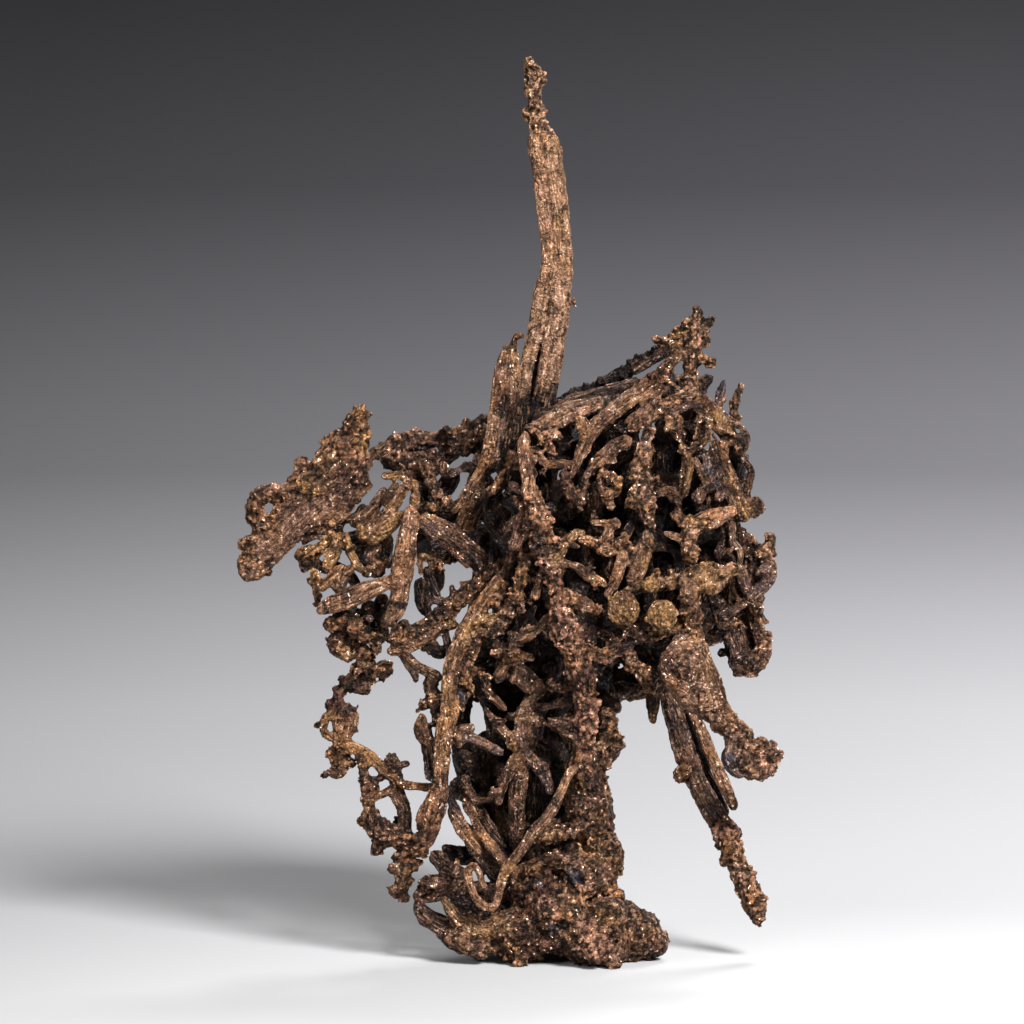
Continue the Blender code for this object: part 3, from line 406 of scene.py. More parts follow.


# Writes what each vertex takes from the wire or lump it belongs to: its tone, with painted shade in it, how
# coarse and how grooved it is, and its place across and along the wire
def paint(obj, wires, lumps, patches):
    spots, ways, runs, looks = [], [], [], []
    for depths, kind, tone, points in wires:
        shift = [random.gauss(0, 1) for _ in toneSpread]
        own = np.clip(np.array(tones[tone]) + np.array(shift) * toneSpread, 0, 1)
        start = random.uniform(0, 200)
        for spot, way, run in stationsOf(routeOf(depths, points)):
            spots.append(spot)
            ways.append(way)
            runs.append(start + run)
            looks.append((*own, wireKinds[kind]["coarse"], wireKinds[kind]["groove"]))
    for spot, halves, kind, tone in lumps:
        reach = min(halves) * 0.6
        sides = [Vector((side if axis == lane else 0 for lane in range(3)))
                 for axis in range(3) for side in (-reach, reach)]
        for side in [Vector()] + sides:
            spots.append(Vector(spot) + side)
            ways.append(Vector((0, 1, 0)))
            runs.append(0)
            looks.append((*tones[tone], wireKinds[kind]["coarse"], wireKinds[kind]["groove"]))
    tree = kdtree.KDTree(len(spots))
    for index, spot in enumerate(spots):
        tree.insert(spot, index)
    tree.balance()
    count = len(obj.data.vertices)
    places = np.empty(count * 3, np.float32)
    obj.data.vertices.foreach_get("co", places)
    places = places.reshape(-1, 3)
    nearest = [tree.find(place)[1] for place in places]
    look = np.array(looks, np.float32)[nearest]
    tone = np.ascontiguousarray(look[:, :4])
    for spot, reach, name in patches:
        tone[np.linalg.norm(places - np.array(spot), axis=1) < reach] = tones[name]
    # dark wires stand behind the openings as painted shade, and are only that dark on the side that faces
    # the front
    facing = np.empty(count * 3, np.float32)
    obj.data.vertex_normals.foreach_get("vector", facing)
    tone[:, 1] *= 1 - 0.7 * np.clip((0.1 - facing[2::3]) / 0.4, 0, 1)
    # painted shade: the deeper inside the nugget, the darker the tone
    tone[:, 1] = np.maximum(tone[:, 1], paintedInnerShade(places))
    way, run = np.array(ways, np.float32)[nearest], np.array(runs, np.float32)[nearest]
    offset = places - np.array(spots, np.float32)[nearest]
    along = (offset * way).sum(1)
    across = np.cross(way, (0.0, 0.0, 1.0))
    across /= np.maximum(np.linalg.norm(across, axis=1, keepdims=True), 1e-3)
    over = np.cross(way, across)
    stretch, drift = surface["fibre"]
    fibre = np.stack([(offset * across).sum(1), (offset * over).sum(1), (run + along) * stretch], axis=1)
    fibre = fibre.astype(np.float32)
    fibre[:, 0] += run * drift
    for name, kind, field, values in (
        ("coarse", "FLOAT", "value", look[:, 4]), ("groove", "FLOAT", "value", look[:, 5]),
        ("tone", "FLOAT_COLOR", "color", tone), ("fibre", "FLOAT_VECTOR", "vector", fibre),
    ):
        stored = obj.data.attributes.new(name, kind, "POINT")
        stored.data.foreach_set(field, np.ascontiguousarray(values).ravel())


# Turns the flat sheet up so that its depth runs towards the viewer, in metres over the part's origin
def standUp(obj):
    angle = math.radians(sheet["viewAngle"])
    stand = Matrix((
        (1, 0, 0, sheet["across"]),
        (0, 0, -1, -sheet["back"]),
        (0, 1 / math.cos(angle), math.tan(angle), 0),
        (0, 0, 0, 1),
    ))
    obj.data.transform(Matrix.Scale(sheet["metres"], 4) @ stand)
    spots = np.empty(len(obj.data.vertices) * 3, np.float32)
    obj.data.vertices.foreach_get("co", spots)
    spots[2::3] = np.maximum(spots[2::3], 0.0)  # worn flat where it rests
    obj.data.vertices.foreach_set("co", spots)
    obj.data.update()


# Gaps that stay open right through the nugget: u, v and half sizes
gaps = [
    (-5.1, 37.5, 0.7, 1.5), (-9.9, 33.6, 0.7, 0.3), (-7.8, 34.6, 0.4, 0.3), (-6.9, 36, 0.3, 0.3),
    (-14.9, 37.5, 0.3, 0.4), (-19.4, 41.6, 0.4, 0.6), (-13.5, 47.6, 0.8, 1.1), (-15.4, 44.8, 0.3, 0.5),
    (-13.5, 43.8, 0.3, 0.5), (-10.4, 45, 0.2, 0.8), (-4, 49.3, 0.8, 0.3), (-4.5, 47.3, 0.3, 0.4),
    (-7.5, 50.3, 0.3, 0.3), (-11.8, 22.5, 3.0, 5.0), (-9.6, 15.4, 0.9, 1.5), (-12.6, 16.6, 0.5, 0.6),
    (3.6, 46.8, 0.4, 0.9), (10.2, 44.2, 0.6, 0.4), (15.6, 43.9, 0.2, 0.4), (-4.1, 24, 0.6, 1.1),
    (-2.6, 29.3, 0.25, 0.3), (-6.6, 12.2, 1.2, 1.2), (-9.4, 7.6, 1.0, 1.4), (-24, 44.5, 0.7, 0.5),
    (12.7, 22, 1.2, 3.4), (18.6, 20, 1.6, 4),
]


def inGap(spot, width):
    half = width / 2
    return any(((spot[0] - u) / (halfU + half)) ** 2 + ((spot[1] - v) / (halfV + half)) ** 2 < 1
               for u, v, halfU, halfV in gaps)


# Short side twigs along the wires and a thicket of darker ones inside an area, whose dark tone paints the
# shade inside the nugget, none over a gap or outside
def growTwigs(wires, crowd, sprigs, thickets):
    grown = []

    def grow(start, way, length, width, kind, tone, free=False):
        bend = Vector([random.gauss(0, amount) for amount in twigs["bend"]])
        middle = start + way * length * 0.5
        end = middle + (way + bend).normalized() * length * 0.5
        spots = (start, middle, end)
        if any(inGap(spot, width) for spot in (start.lerp(end, share / 6) for share in range(1, 7))):
            return
        if not free and not all(crowd.find_range((spot[0], spot[1], 0), 1.0) for spot in (middle, end)):
            return
        grown.append((tuple(spot[2] for spot in spots), kind, tone,
                      [(*spot[:2], width * share) for spot, share in zip(spots, (1, 0.9, 0.7))]))

    stations = []
    for depths, kind, tone, points in wires:
        width = meanWidth(points)
        places = stationsOf(routeOf(depths, points))
        stations += [(spot, way, width, kind, tone) for spot, way, _ in places]
    for spot, way, width, kind, tone in stations:
        if random.random() > sprigs * 0.5:
            continue
        side = way.cross(Vector((random.gauss(0, 0.5), random.gauss(0, 0.5), 1))).normalized()
        side = side * random.choice((-1, 1)) + Vector((0, 0, random.gauss(0, 0.6))) + way * 0.4
        grow(spot, side.normalized(), width / 2 + random.uniform(*twigs["length"]),
             random.uniform(*twigs["width"]), random.choice((kind, "grain")),
             random.choice((tone, "brown", "dark")))
    for (u, v, depth), (halfU, halfV, halfDepth), count, tone in thickets:
        inside = [station for station in stations if abs(station[0][0] - u) < halfU * 1.3
                  and abs(station[0][1] - v) < halfV * 1.3]
        for _ in range(count):
            spot = random.choice(inside)[0]
            goal = Vector((u + random.uniform(-halfU, halfU), v + random.uniform(-halfV, halfV),
                           depth + random.uniform(-halfDepth, halfDepth)))
            way = goal - spot
            if way.length > twigs["thicketShortest"]:
                length = min(way.length, random.uniform(*twigs["thicketLength"]))
                grow(spot, way.normalized(), length, random.uniform(*twigs["thicketWidth"]),
                     random.choice(("blade", "ribbed", "smooth")), tone, True)
    return grown


# Every wire of every branch as seen from the front, to tell what is inside the nugget
def makeCrowd(tables):
    marks = [spot for table in tables for depths, _, _, points in table["wires"]
             for spot, _, _ in stationsOf(routeOf(depths, points))]
    crowd = kdtree.KDTree(len(marks))
    for index, spot in enumerate(marks):
        crowd.insert((spot[0], spot[1], 0), index)
    crowd.balance()
    return crowd


# How far the nugget reaches each way from the middle, looked at along its depth and across it
def makeReaches(tables):
    opening, cells = shadeFrom["opening"], shadeFrom["cells"]
    reaches = []
    for way, side in ((2, 0), (0, 2)):
        far = np.full(shadeFrom["size"], -99.0)
        near = np.full(shadeFrom["size"], 99.0)
        for depths, _, _, points in (wire for table in tables for wire in table["wires"]):
            halfWidth = meanWidth(points) / 2
            for spot, _, _ in stationsOf(routeOf(depths, points)):
                block = tuple(slice(int((spot[axis] + shift - halfWidth - opening) * cells),
                                    int((spot[axis] + shift + halfWidth + opening) * cells) + 1)
                              for axis, shift in zip((side, 1), shadeFrom["shift"]))
                far[block] = np.maximum(far[block], spot[way])
                near[block] = np.minimum(near[block], spot[way])
        reaches.append((way, side, far, near))
    return reaches


# How deep inside the nugget each place is, for its painted shade: from 0 on its skin to 1 where it is
# painted fully dark
def paintedInnerShade(places):
    depth = np.full(len(places), 99.0)
    for way, side, far, near in reaches:
        cell = tuple(((places[:, axis] + shift) * shadeFrom["cells"]).astype(int)
                     for axis, shift in zip((side, 1), shadeFrom["shift"]))
        depth = np.minimum(depth, np.minimum(far[cell] - places[:, way], places[:, way] - near[cell]))
    return np.clip((depth - shadeFrom["skin"]) / shadeFrom["depth"], 0, 1)


def buildPiece(name, node, branch):
    random.seed(name)
    wires = list(branch["wires"])
    wires += growTwigs(wires, crowd, branch.get("sprigs", 0), branch.get("thickets", []))
    lumps = branch["lumps"] + [((u, v, depth), (width / 2, width / 2, width / 2.4), kind, tone)
                               for u, v, depth, width, kind, tone in branch["knobs"]]
    made = []
    for order, (kind, facts) in enumerate(wireKinds.items()):
        parts = []
        sameKind = [wire for wire in wires if wire[1] == kind]
        if sameKind:
            parts.append(drawWires(kind, sameKind))
        parts += [addLump(spot, halves, randomTurn(0.4))
                  for spot, halves, lumpKind, _ in lumps if lumpKind == kind]
        if not parts:
            continue
        pick(*parts)
        if len(parts) > 1:
            bpy.ops.object.join()
        grown = bpy.context.object
        applyNodes(grown, noduleTree, Density=facts["nodules"], Smallest=facts["size"][0],
                   Largest=facts["size"][1], Seed=order + len(wires))
        made.append(grown)
    pick(*made)
    if len(made) > 1:
        bpy.ops.object.join()
    piece = bpy.context.object
    piece.name = name
    piece.data.name = name
    fuse(piece, branch.get("voxel", surface["voxel"]))
    dropCrumbs(piece)
    paint(piece, wires, lumps, branch.get("patches", []))
    applyNodes(piece, crustTree, **{**crustValues, **branch.get("crust", {})})
    standUp(piece)
    pick(piece)
    bpy.ops.object.shade_smooth()
    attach(piece, "root")
    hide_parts(node)
    print("built", name, len(wires), "wires", len(piece.data.polygons), "faces")
    return piece


# A branch's table spelled out: a row without a look of its own, a kind and a tone, takes its list's
def spellOut(branch):
    def rows(part, size):
        full = []
        for row in branch.get(part + "s", []):
            look = row[size] if len(row) > size else branch[part + "Look"]
            full.append((*row[:size], *look.split()))
        return full

    wires = [(depths if isinstance(depths, tuple) else (depths,), kind, tone,
              [tuple(map(float, point.split())) for point in points.split(", ")])
             for depths, points, kind, tone in rows("wire", 2)]
    return branch | {"wires": wires, "lumps": rows("lump", 2), "knobs": rows("knob", 4)}


# The branches. A wire is its depths, spread evenly over its length, and its points, each the u, v and width
# there. A lump is its middle and half sizes, a knob its u, v, depth and width, a patch its middle, reach and
# tone, and a thicket its middle, half sizes, count and tone
tallSpike = {
    "wireLook": "smooth tan",
    "wires": [
        ((1, 0.6), "1.9 89.1 1, 2.2 87.7 1.7, 2.4 86 1.6, 2.5 84.4 1.6, 2.5 82.8 1.9", "grain tan"),
        ((0.5, 0.2, 0, -0.3), "2.9 82.2 2, 3.2 80.8 3.2, 3.6 78.6 3.2, 4 76 3.2, 4.3 73.4 3.1, 4.5 71 3.1, "
            "4.6 69 3.1, 4.5 66.5 2.9"),
        ((0.9, 0.7), "2.5 81.4 0.9, 2.8 78.5 1.2, 3.1 75.5 1.3, 3.5 72 1.2, 3.7 69.2 1.2, 3.4 67 1.4"),
        ((1, 0.8), "4.1 81 1, 4.5 78 1.3, 4.9 75 1.3, 5.3 71.5 1.4, 5.4 68.5 1.5"),
        ((0.4, 0), "3.4 67.4 1.3, 2.9 65 1.5, 2.4 62 1.5, 1.7 59 1.5, 1.2 55 1.4, "
            "0.9 51 1.3", "smooth brown"),
        ((0.7, 0.3), "4.9 68.6 1.9, 5 65 2.2, 4.5 61.6 2.3, 3.9 58 2.3, 3.2 54.5 2.2, 2.6 50.6 1.9"),
        # a black blade behind, painted shade in the spike's groove
        ((-1.4, -2.2), "4 66.6 3, 3.4 62 3.2, 2.8 58 3.2, 2.1 54 3, 1.7 50 2.6", "blade black"),
    ],
    "knobLook": "grain tan",
    "knobs": [
        (3.2, 87.2, 0.8, 0.9), (1.6, 86.2, 0.8, 0.8), (1.6, 83.5, 0.7, 1), (3.5, 83.9, 0.7, 0.8),
        (6, 65.1, 0.3, 0.8), (2, 88.8, 1, 1.1), (2.6, 82.3, 0.8, 1.4), (3.6, 81.4, 0.6, 1.6),
    ],
    "crust": {"Lump Size": 2.2, "Lump Height": 0.28, "Grain Height": 0.3},
}

shortSpike = {
    "wireLook": "smooth dark",
    "wires": [
        (0.4, "-0.6 56.6 0.9, -0.9 54.6 1, -1.2 53 1"),
        ((1, -1), "0.4 51.6 1.6, -0.1 49.6 1.6", "smooth black"),
        ((4, 4, 3), "0.75 61.9 0.5, 0.35 60.9 0.8, 0.3 59.6 1.2, 0.3 57.6 1.4, 0.1 55 1.4, -0.2 52.8 1.3, "
            "-0.5 51 1.2", "smooth brown"),
        ((3.6, 3), "-0.4 54 1.2, -0.9 52 1.3, -1.4 50 1.4, -1.9 48.4 1.3"),
        ((4.4, 4.2, 4), "-0.6 60 0.7, -1 58.4 1.1, -1.3 56 1.2, -1.6 54 1.1, -1.9 52 1.1, "
            "-2.2 50.2 1.2", "smooth brown"),
        ((4.2, 3.6), "-2.1 50.4 1.1, -2.6 49 1.1, -3.2 47.9 1, -4 46.6 0.9, -4.8 45.4 0.9, "
            "-5.7 44.1 0.7", "smooth brown"),
        ((3, 2), "-2.2 49.2 1.2, -2.6 47.6 1.2, -2.4 46.2 1"),
        ((3, 0.5, -2), "-1.4 50.4 2.2, -0.4 48.6 2.2, 0.8 47.4 2.2", "smooth black"),
        (5.6, "-0.1 50.2 0.8, 0.3 49.3 1.1, -0.4 48.3 0.9, -1 47.3 1.1, -1.6 46.4 1, "
            "-2.4 46 0.8", "grain pink"),
        (4.6, "-0.2 46.8 0.7, 0.9 46.2 0.8, 1.8 45.9 0.7", "smooth grey"),
    ],
    "knobLook": "grain brown",
    "knobs": [
        (0.85, 61.6, 4, 0.8), (-0.4, 60.4, 3.8, 0.8), (0.6, 49, 6, 0.7, "grain pink"),
        (0.9, 45.2, 6, 1.2, "grain gold"),
    ],
    "crust": {"Lump Height": 0.2},
}

frontStem = {
    "wireLook": "smooth brown",
    "wires": [
        ((4, 1), "-2 43.8 1.6, -1.2 42.4 1.8, -1.2 39.4 1.8", "smooth black"),
        ((4, 1), "-1.2 37.8 1.6, -0.8 35 2, -0.4 32.6 1.8", "smooth black"),
        ((8, 8.6, 9.4, 10), "1.5 52 0.6, 1.4 51 1.4, 1.5 50 1.5, 1.6 49 1.6, 1.8 48 1.5, 1.8 47 1.5, "
            "2 46 1.6", "smooth pink"),
        ((9.6, 10), "2 46.2 1.6, 2.3 45 2, 2.6 44 2.4, 2.8 42.9 2.4, 3.3 41.8 2.2", "grain pink"),
        ((10, 10, 10), "3.4 41.8 2.2, 3.2 40.6 2.4, 3.6 39.4 2, 4.4 38.4 1.5, 4.6 37.2 1.5, 4.7 36 1.4, "
            "4.9 34.6 1.8, 5.2 33.2 2.6, 5.9 31.4 3", "grain pink"),
        ((10, 9.4, 8.4, 7.5), "6 31.5 2.9, 6.7 29.5 2.7, 7.2 27.2 2.5, 7.6 25.5 2.3, 7.6 23 2.1, "
            "7.4 21.1 2.2, 7.2 19.8 1.8", "grain pink"),
        (10.2, "4.4 39.5 1.3, 5 40.3 1.5, 5.6 41 1.5, 6.1 41.5 1.2, 6.6 42 0.8, "
            "7.2 42.1 0.7", "smooth gold"),
        (10, "5 39.1 0.8, 6 38.9 0.9, 7 38.4 1, 7.8 37.8 1.1, 8.7 37.3 1, 9.4 36.9 0.7"),
        (10, "4.9 36.1 1.2, 6.2 35.6 1.2"),
        (10.2, "6 35.7 1.2, 7.2 35 1.5, 8.2 34.6 1.4, 9 34.4 0.8", "grain brown"),
        ((10, 9), "6.8 30.4 1.6, 8.2 30.1 1.5, 9.3 29.7 1.6, 10.5 30.9 1.4, 11.3 31.9 1.2", "grain brown"),
        ((9, 9), "10.6 31 1.2, 11.4 30.3 1.4, 12.8 28.4 1.6, 13.9 26.5 1.1", "grain brown"),
        ((8.4, 8), "3.8 27 0.9, 5 26.7 1, 6.4 26.5 1", "grain brown"),
        ((9, 8), "4.1 23.1 1.2, 5 23.2 1.4, 6.2 23 1.5, 7.2 22.8 1.4", "grain dark"),
        (8, "5.2 22 0.9, 6 21.7 0.8, 7 21.6 0.8", "smooth dark"),
        ((9, 4, -0.5), "3.5 41.4 2, 3.4 40.6 2.2, 3.2 40 2.6", "smooth dark"),
        ((9, 4, -1.5), "6.2 31 2.2, 5.6 31 2.4, 4.8 31 2.8", "smooth dark"),
        ((9, 8.4), "6.6 32.2 1.3, 8 32.3 1.2, 9.7 31.8 1.1", "smooth dark"),
        (8.6, "1.8 49.3 1, 2.6 49.4 0.7, 3.3 49.3 0.4", "grain pink"),
        (8.8, "2.4 45.6 0.9, 1.2 46.3 0.8, 0 46.9 0.8"),
        (9.4, "2 44 0.9, 1.1 43.6 0.9, 0.6 42 0.9, 0.2 40.6 0.9"),
        (9.6, "2.6 42.4 0.9, 1.4 41.7 0.8, 0.8 40.5 0.8"),
        (9, "1.9 44.2 0.7, 0.4 43.4 0.7, -0.5 42.2 0.7", "smooth dark"),
        (9, "2.2 40.2 1.1, 1.6 39.4 1.2, 1.2 38 1.3, 0.9 37 1.2, 0.7 36 1.1, 0.5 35.2 0.9", "grain tan"),
        (8.6, "2.6 32.4 1.1, 1.6 32 1.2, 0.8 31.5 1.2, -0.2 32.1 0.8", "grain brown"),
        (8.6, "0.6 30.4 1.1, -0.6 30.4 1.2, -1.5 29.9 0.9", "grain brown"),
        (8.6, "0.6 42.8 0.8, 0.5 41.6 1, 0.3 40.5 0.7"),
        (9.4, "3.4 38.6 0.9, 2.8 37 0.9, 2.4 35.6 0.9"),
        (9.4, "4.6 34.6 0.9, 5.9 35.6 0.6", "grain pink"),
        (9.2, "4.8 33.9 1, 3.5 33.4 1, 2.6 32.2 0.9, 1.4 31.6 1.1, 0.2 31.4 1.3", "smooth dark"),
    ],
    "knobLook": "grain pink",
    "knobs": [
        (8.4, 36.7, 10, 0.8, "grain brown"), (1.8, 37.4, 9, 1, "grain gold"),
        (-0.5, 43.8, 9, 0.7, "grain gold"), (1.2, 35.7, 8.8, 1, "grain brown"),
        (1.9, 35.3, 9, 0.8, "grain brown"), (1, 34.6, 8.8, 1, "grain brown"),
        (0.8, 45.2, 8.8, 1.1, "grain brown"), (1.5, 44.3, 9.2, 1, "grain brown"), (3.9, 43.2, 9.8, 1.2),
        (2.6, 41, 10.4, 1.1), (4.4, 40.9, 10.3, 1.2), (5.4, 31, 10.8, 1.5), (7.2, 31.4, 10.4, 1.5),
        (7.3, 34.9, 10.6, 0.9, "smooth grey"), (6.2, 28.4, 9.8, 1.3), (8, 28.2, 9.4, 1.3),
        (8.5, 25.2, 8.6, 1.2), (6.8, 24, 8.8, 1.2), (4.8, 34.2, 10.6, 1.2), (4.2, 36.4, 10.6, 1.1),
        (7.6, 29.6, 10.2, 1.2),
    ],
    "crust": {"Lump Height": 0.6, "Grain Height": 0.42},
    "sprigs": 0.1,
}

longWire = {
    "wireLook": "smooth grey",
    "wires": [
        ((5, 7, 8, 8.5), "0.3 40 1, -0.1 39 1.1, -0.6 38 1.2, -1.3 37 1.4, -2.2 35.8 1.6, -3 34.6 1.9, "
            "-3.6 33.4 2.1, -4.3 32.2 2.1, -5 31 1.8, -5.6 29.8 1.5, -6 28 1.6", "ribbed brown"),
        (8.5, "-6 28.2 1.6, -6 26 1.8, -6.1 24 2, -6.6 22 1.8, -6.8 20 1.7", "ribbed tan"),
        ((8.5, 8, 7), "-6.8 20.4 1.7, -6.9 18 1.6, -7 16.6 1.9, -7.5 15 2.4, -8.1 13.4 2.6, -8.3 12 2.2, "
            "-8.5 11 1.6", "ribbed rust"),
        ((7, 7.4), "-0.5 37 1.1, -1 35.9 1.2, -1.7 34.8 1.2", "grain brown"),
        (8.4, "-2.9 33.1 0.8, -2.2 33.5 0.9, -1.6 33.8 0.9", "plate gold"),
        ((7.4, 7.2), "-2.9 32 1.1, -3.5 31.2 1.6, -4.1 30.2 1.8, -4.5 29 1.7, -4.7 28 1.4, "
            "-4.9 27.2 1", "grain rust"),
        (8.2, "-2.6 31.8 0.9, -2 32 1.3, -1.3 32.7 1.5, -0.6 33.6 1.5, 0.2 34.6 1.4, "
            "1 35.3 1.2", "grain brown"),
        ((6, 6.6, 7), "-10.4 29.9 0.8, -9.2 28.7 1, -8.1 28.1 1.2, -7.2 27.6 1.2", "smooth dark"),
        ((6.5, 7, 7.4), "-8.1 27.4 1.3, -7.7 26 1.5, -7.3 24.6 1.3, -7.4 23 1", "grain dark"),
        ((6.8, 7.4, 8.2), "-8.5 21 0.9, -8.2 19.2 1, -8 17.6 0.9", "blade black"),
        (7.6, "-7.8 21 0.5, -7.7 19.4 0.6, -7.6 17.8 0.5"),
        ((7, 7.4), "-8.7 23.7 0.9, -8.8 22.9 1.6, -8.6 22 1.9, -8.1 21.3 1.5, -7.4 21 1", "plate brown"),
        (6.8, "-8.8 23.8 0.4, -9.3 22.9 0.5, -9.4 21.9 0.4", "smooth gold"),
        ((5, 2, -0.5), "0.4 39.9 1.2, 1.2 39.6 1.6, 1.6 39.6 2", "smooth dark"),
        ((7, 6.6), "-4.6 26.8 0.9, -4.7 25.8 1.1, -4.9 24.5 0.8", "smooth blue"),
        (7, "-4.1 27.6 0.3, -4 26.8 0.35, -3.9 25.9 0.3", "bead gold"),
        ((6, 5.6), "-3.8 28.2 1, -3.3 27 1.2, -3.1 25.8 1", "blade black"),
        (7.8, "-5.4 22.4 1, -5.2 21.6 1.1, -5 20.8 0.8", "smooth brown"),
        (7.6, "-5.4 22.4 0.8, -4.4 22.6 0.9, -3.7 22.6 0.7"),
        (7.6, "-5.4 21.2 0.9, -4.3 21.6 1, -3 21.2 1.1, -2 20.6 1.1, -0.9 20.1 0.9"),
        ((7.4, 7), "-3 28.2 0.5, -2.4 26.9 0.6, -1.9 25.8 0.9, -1.1 25 0.9, -0.5 24.4 0.7", "smooth rust"),
        (7.6, "-2.8 28 0.4, -2.3 27.4 0.5, -2 26.6 0.4", "bead tan"),
    ],
    "knobLook": "grain brown",
    "knobs": [
        (-8.5, 25, 7, 1.4, "grain dark"), (-9.2, 24.3, 7, 0.5, "smooth dark"), (-9.2, 10.4, 7, 1.8),
        (-8.9, 11.6, 7.6, 1.6), (-1.2, 29.8, 7.6, 1), (-4.9, 24.7, 6.8, 0.9, "grain rust"),
    ],
    "patches": [((-6.5, 26.6, 9.2), 0.7, "gold"), ((-6, 24.4, 9.2), 0.8, "gold"),
        ((-4, 32.4, 8.8), 0.8, "gold"), ((-6.8, 20.4, 9), 0.6, "gold")],
    "crust": {"Lump Size": 1.3, "Lump Height": 0.24, "Grain Height": 0.26, "Groove Height": 0.4},
    "sprigs": 0.05,
}

hookWire = {
    "wireLook": "smooth rust",
    "wires": [
        ((9, 10, 10, 10), "-4.3 8.4 0.85, -4 7 0.85, -3.4 5.6 0.9, -2.5 4.8 0.85, -1.8 4.7 0.85, "
            "-1.2 5.8 0.9, -0.8 7.4 1, -0.2 8.9 1.05"),
        ((10, 10, 9.5, 8.5), "-0.4 8.4 1.05, 1.3 10.7 1.1, 2.4 12.2 1.2, 3.6 13.6 1.2, 4.5 15 1.15, "
            "5.2 16.6 1, 5.9 18 0.95, 6.7 18.8 0.85", "smooth tan"),
        ((9, 9.6), "-4.1 8.3 0.7, -3.8 8.9 0.7, -3.2 8.5 0.7, -2.9 7.6 0.7, -2.5 6.6 0.7", "smooth brown"),
    ],
    "patches": [((-0.4, 8, 10), 1.1, "gold")],
    "crust": {"Lump Height": 0.2, "Grain Height": 0.24},
}

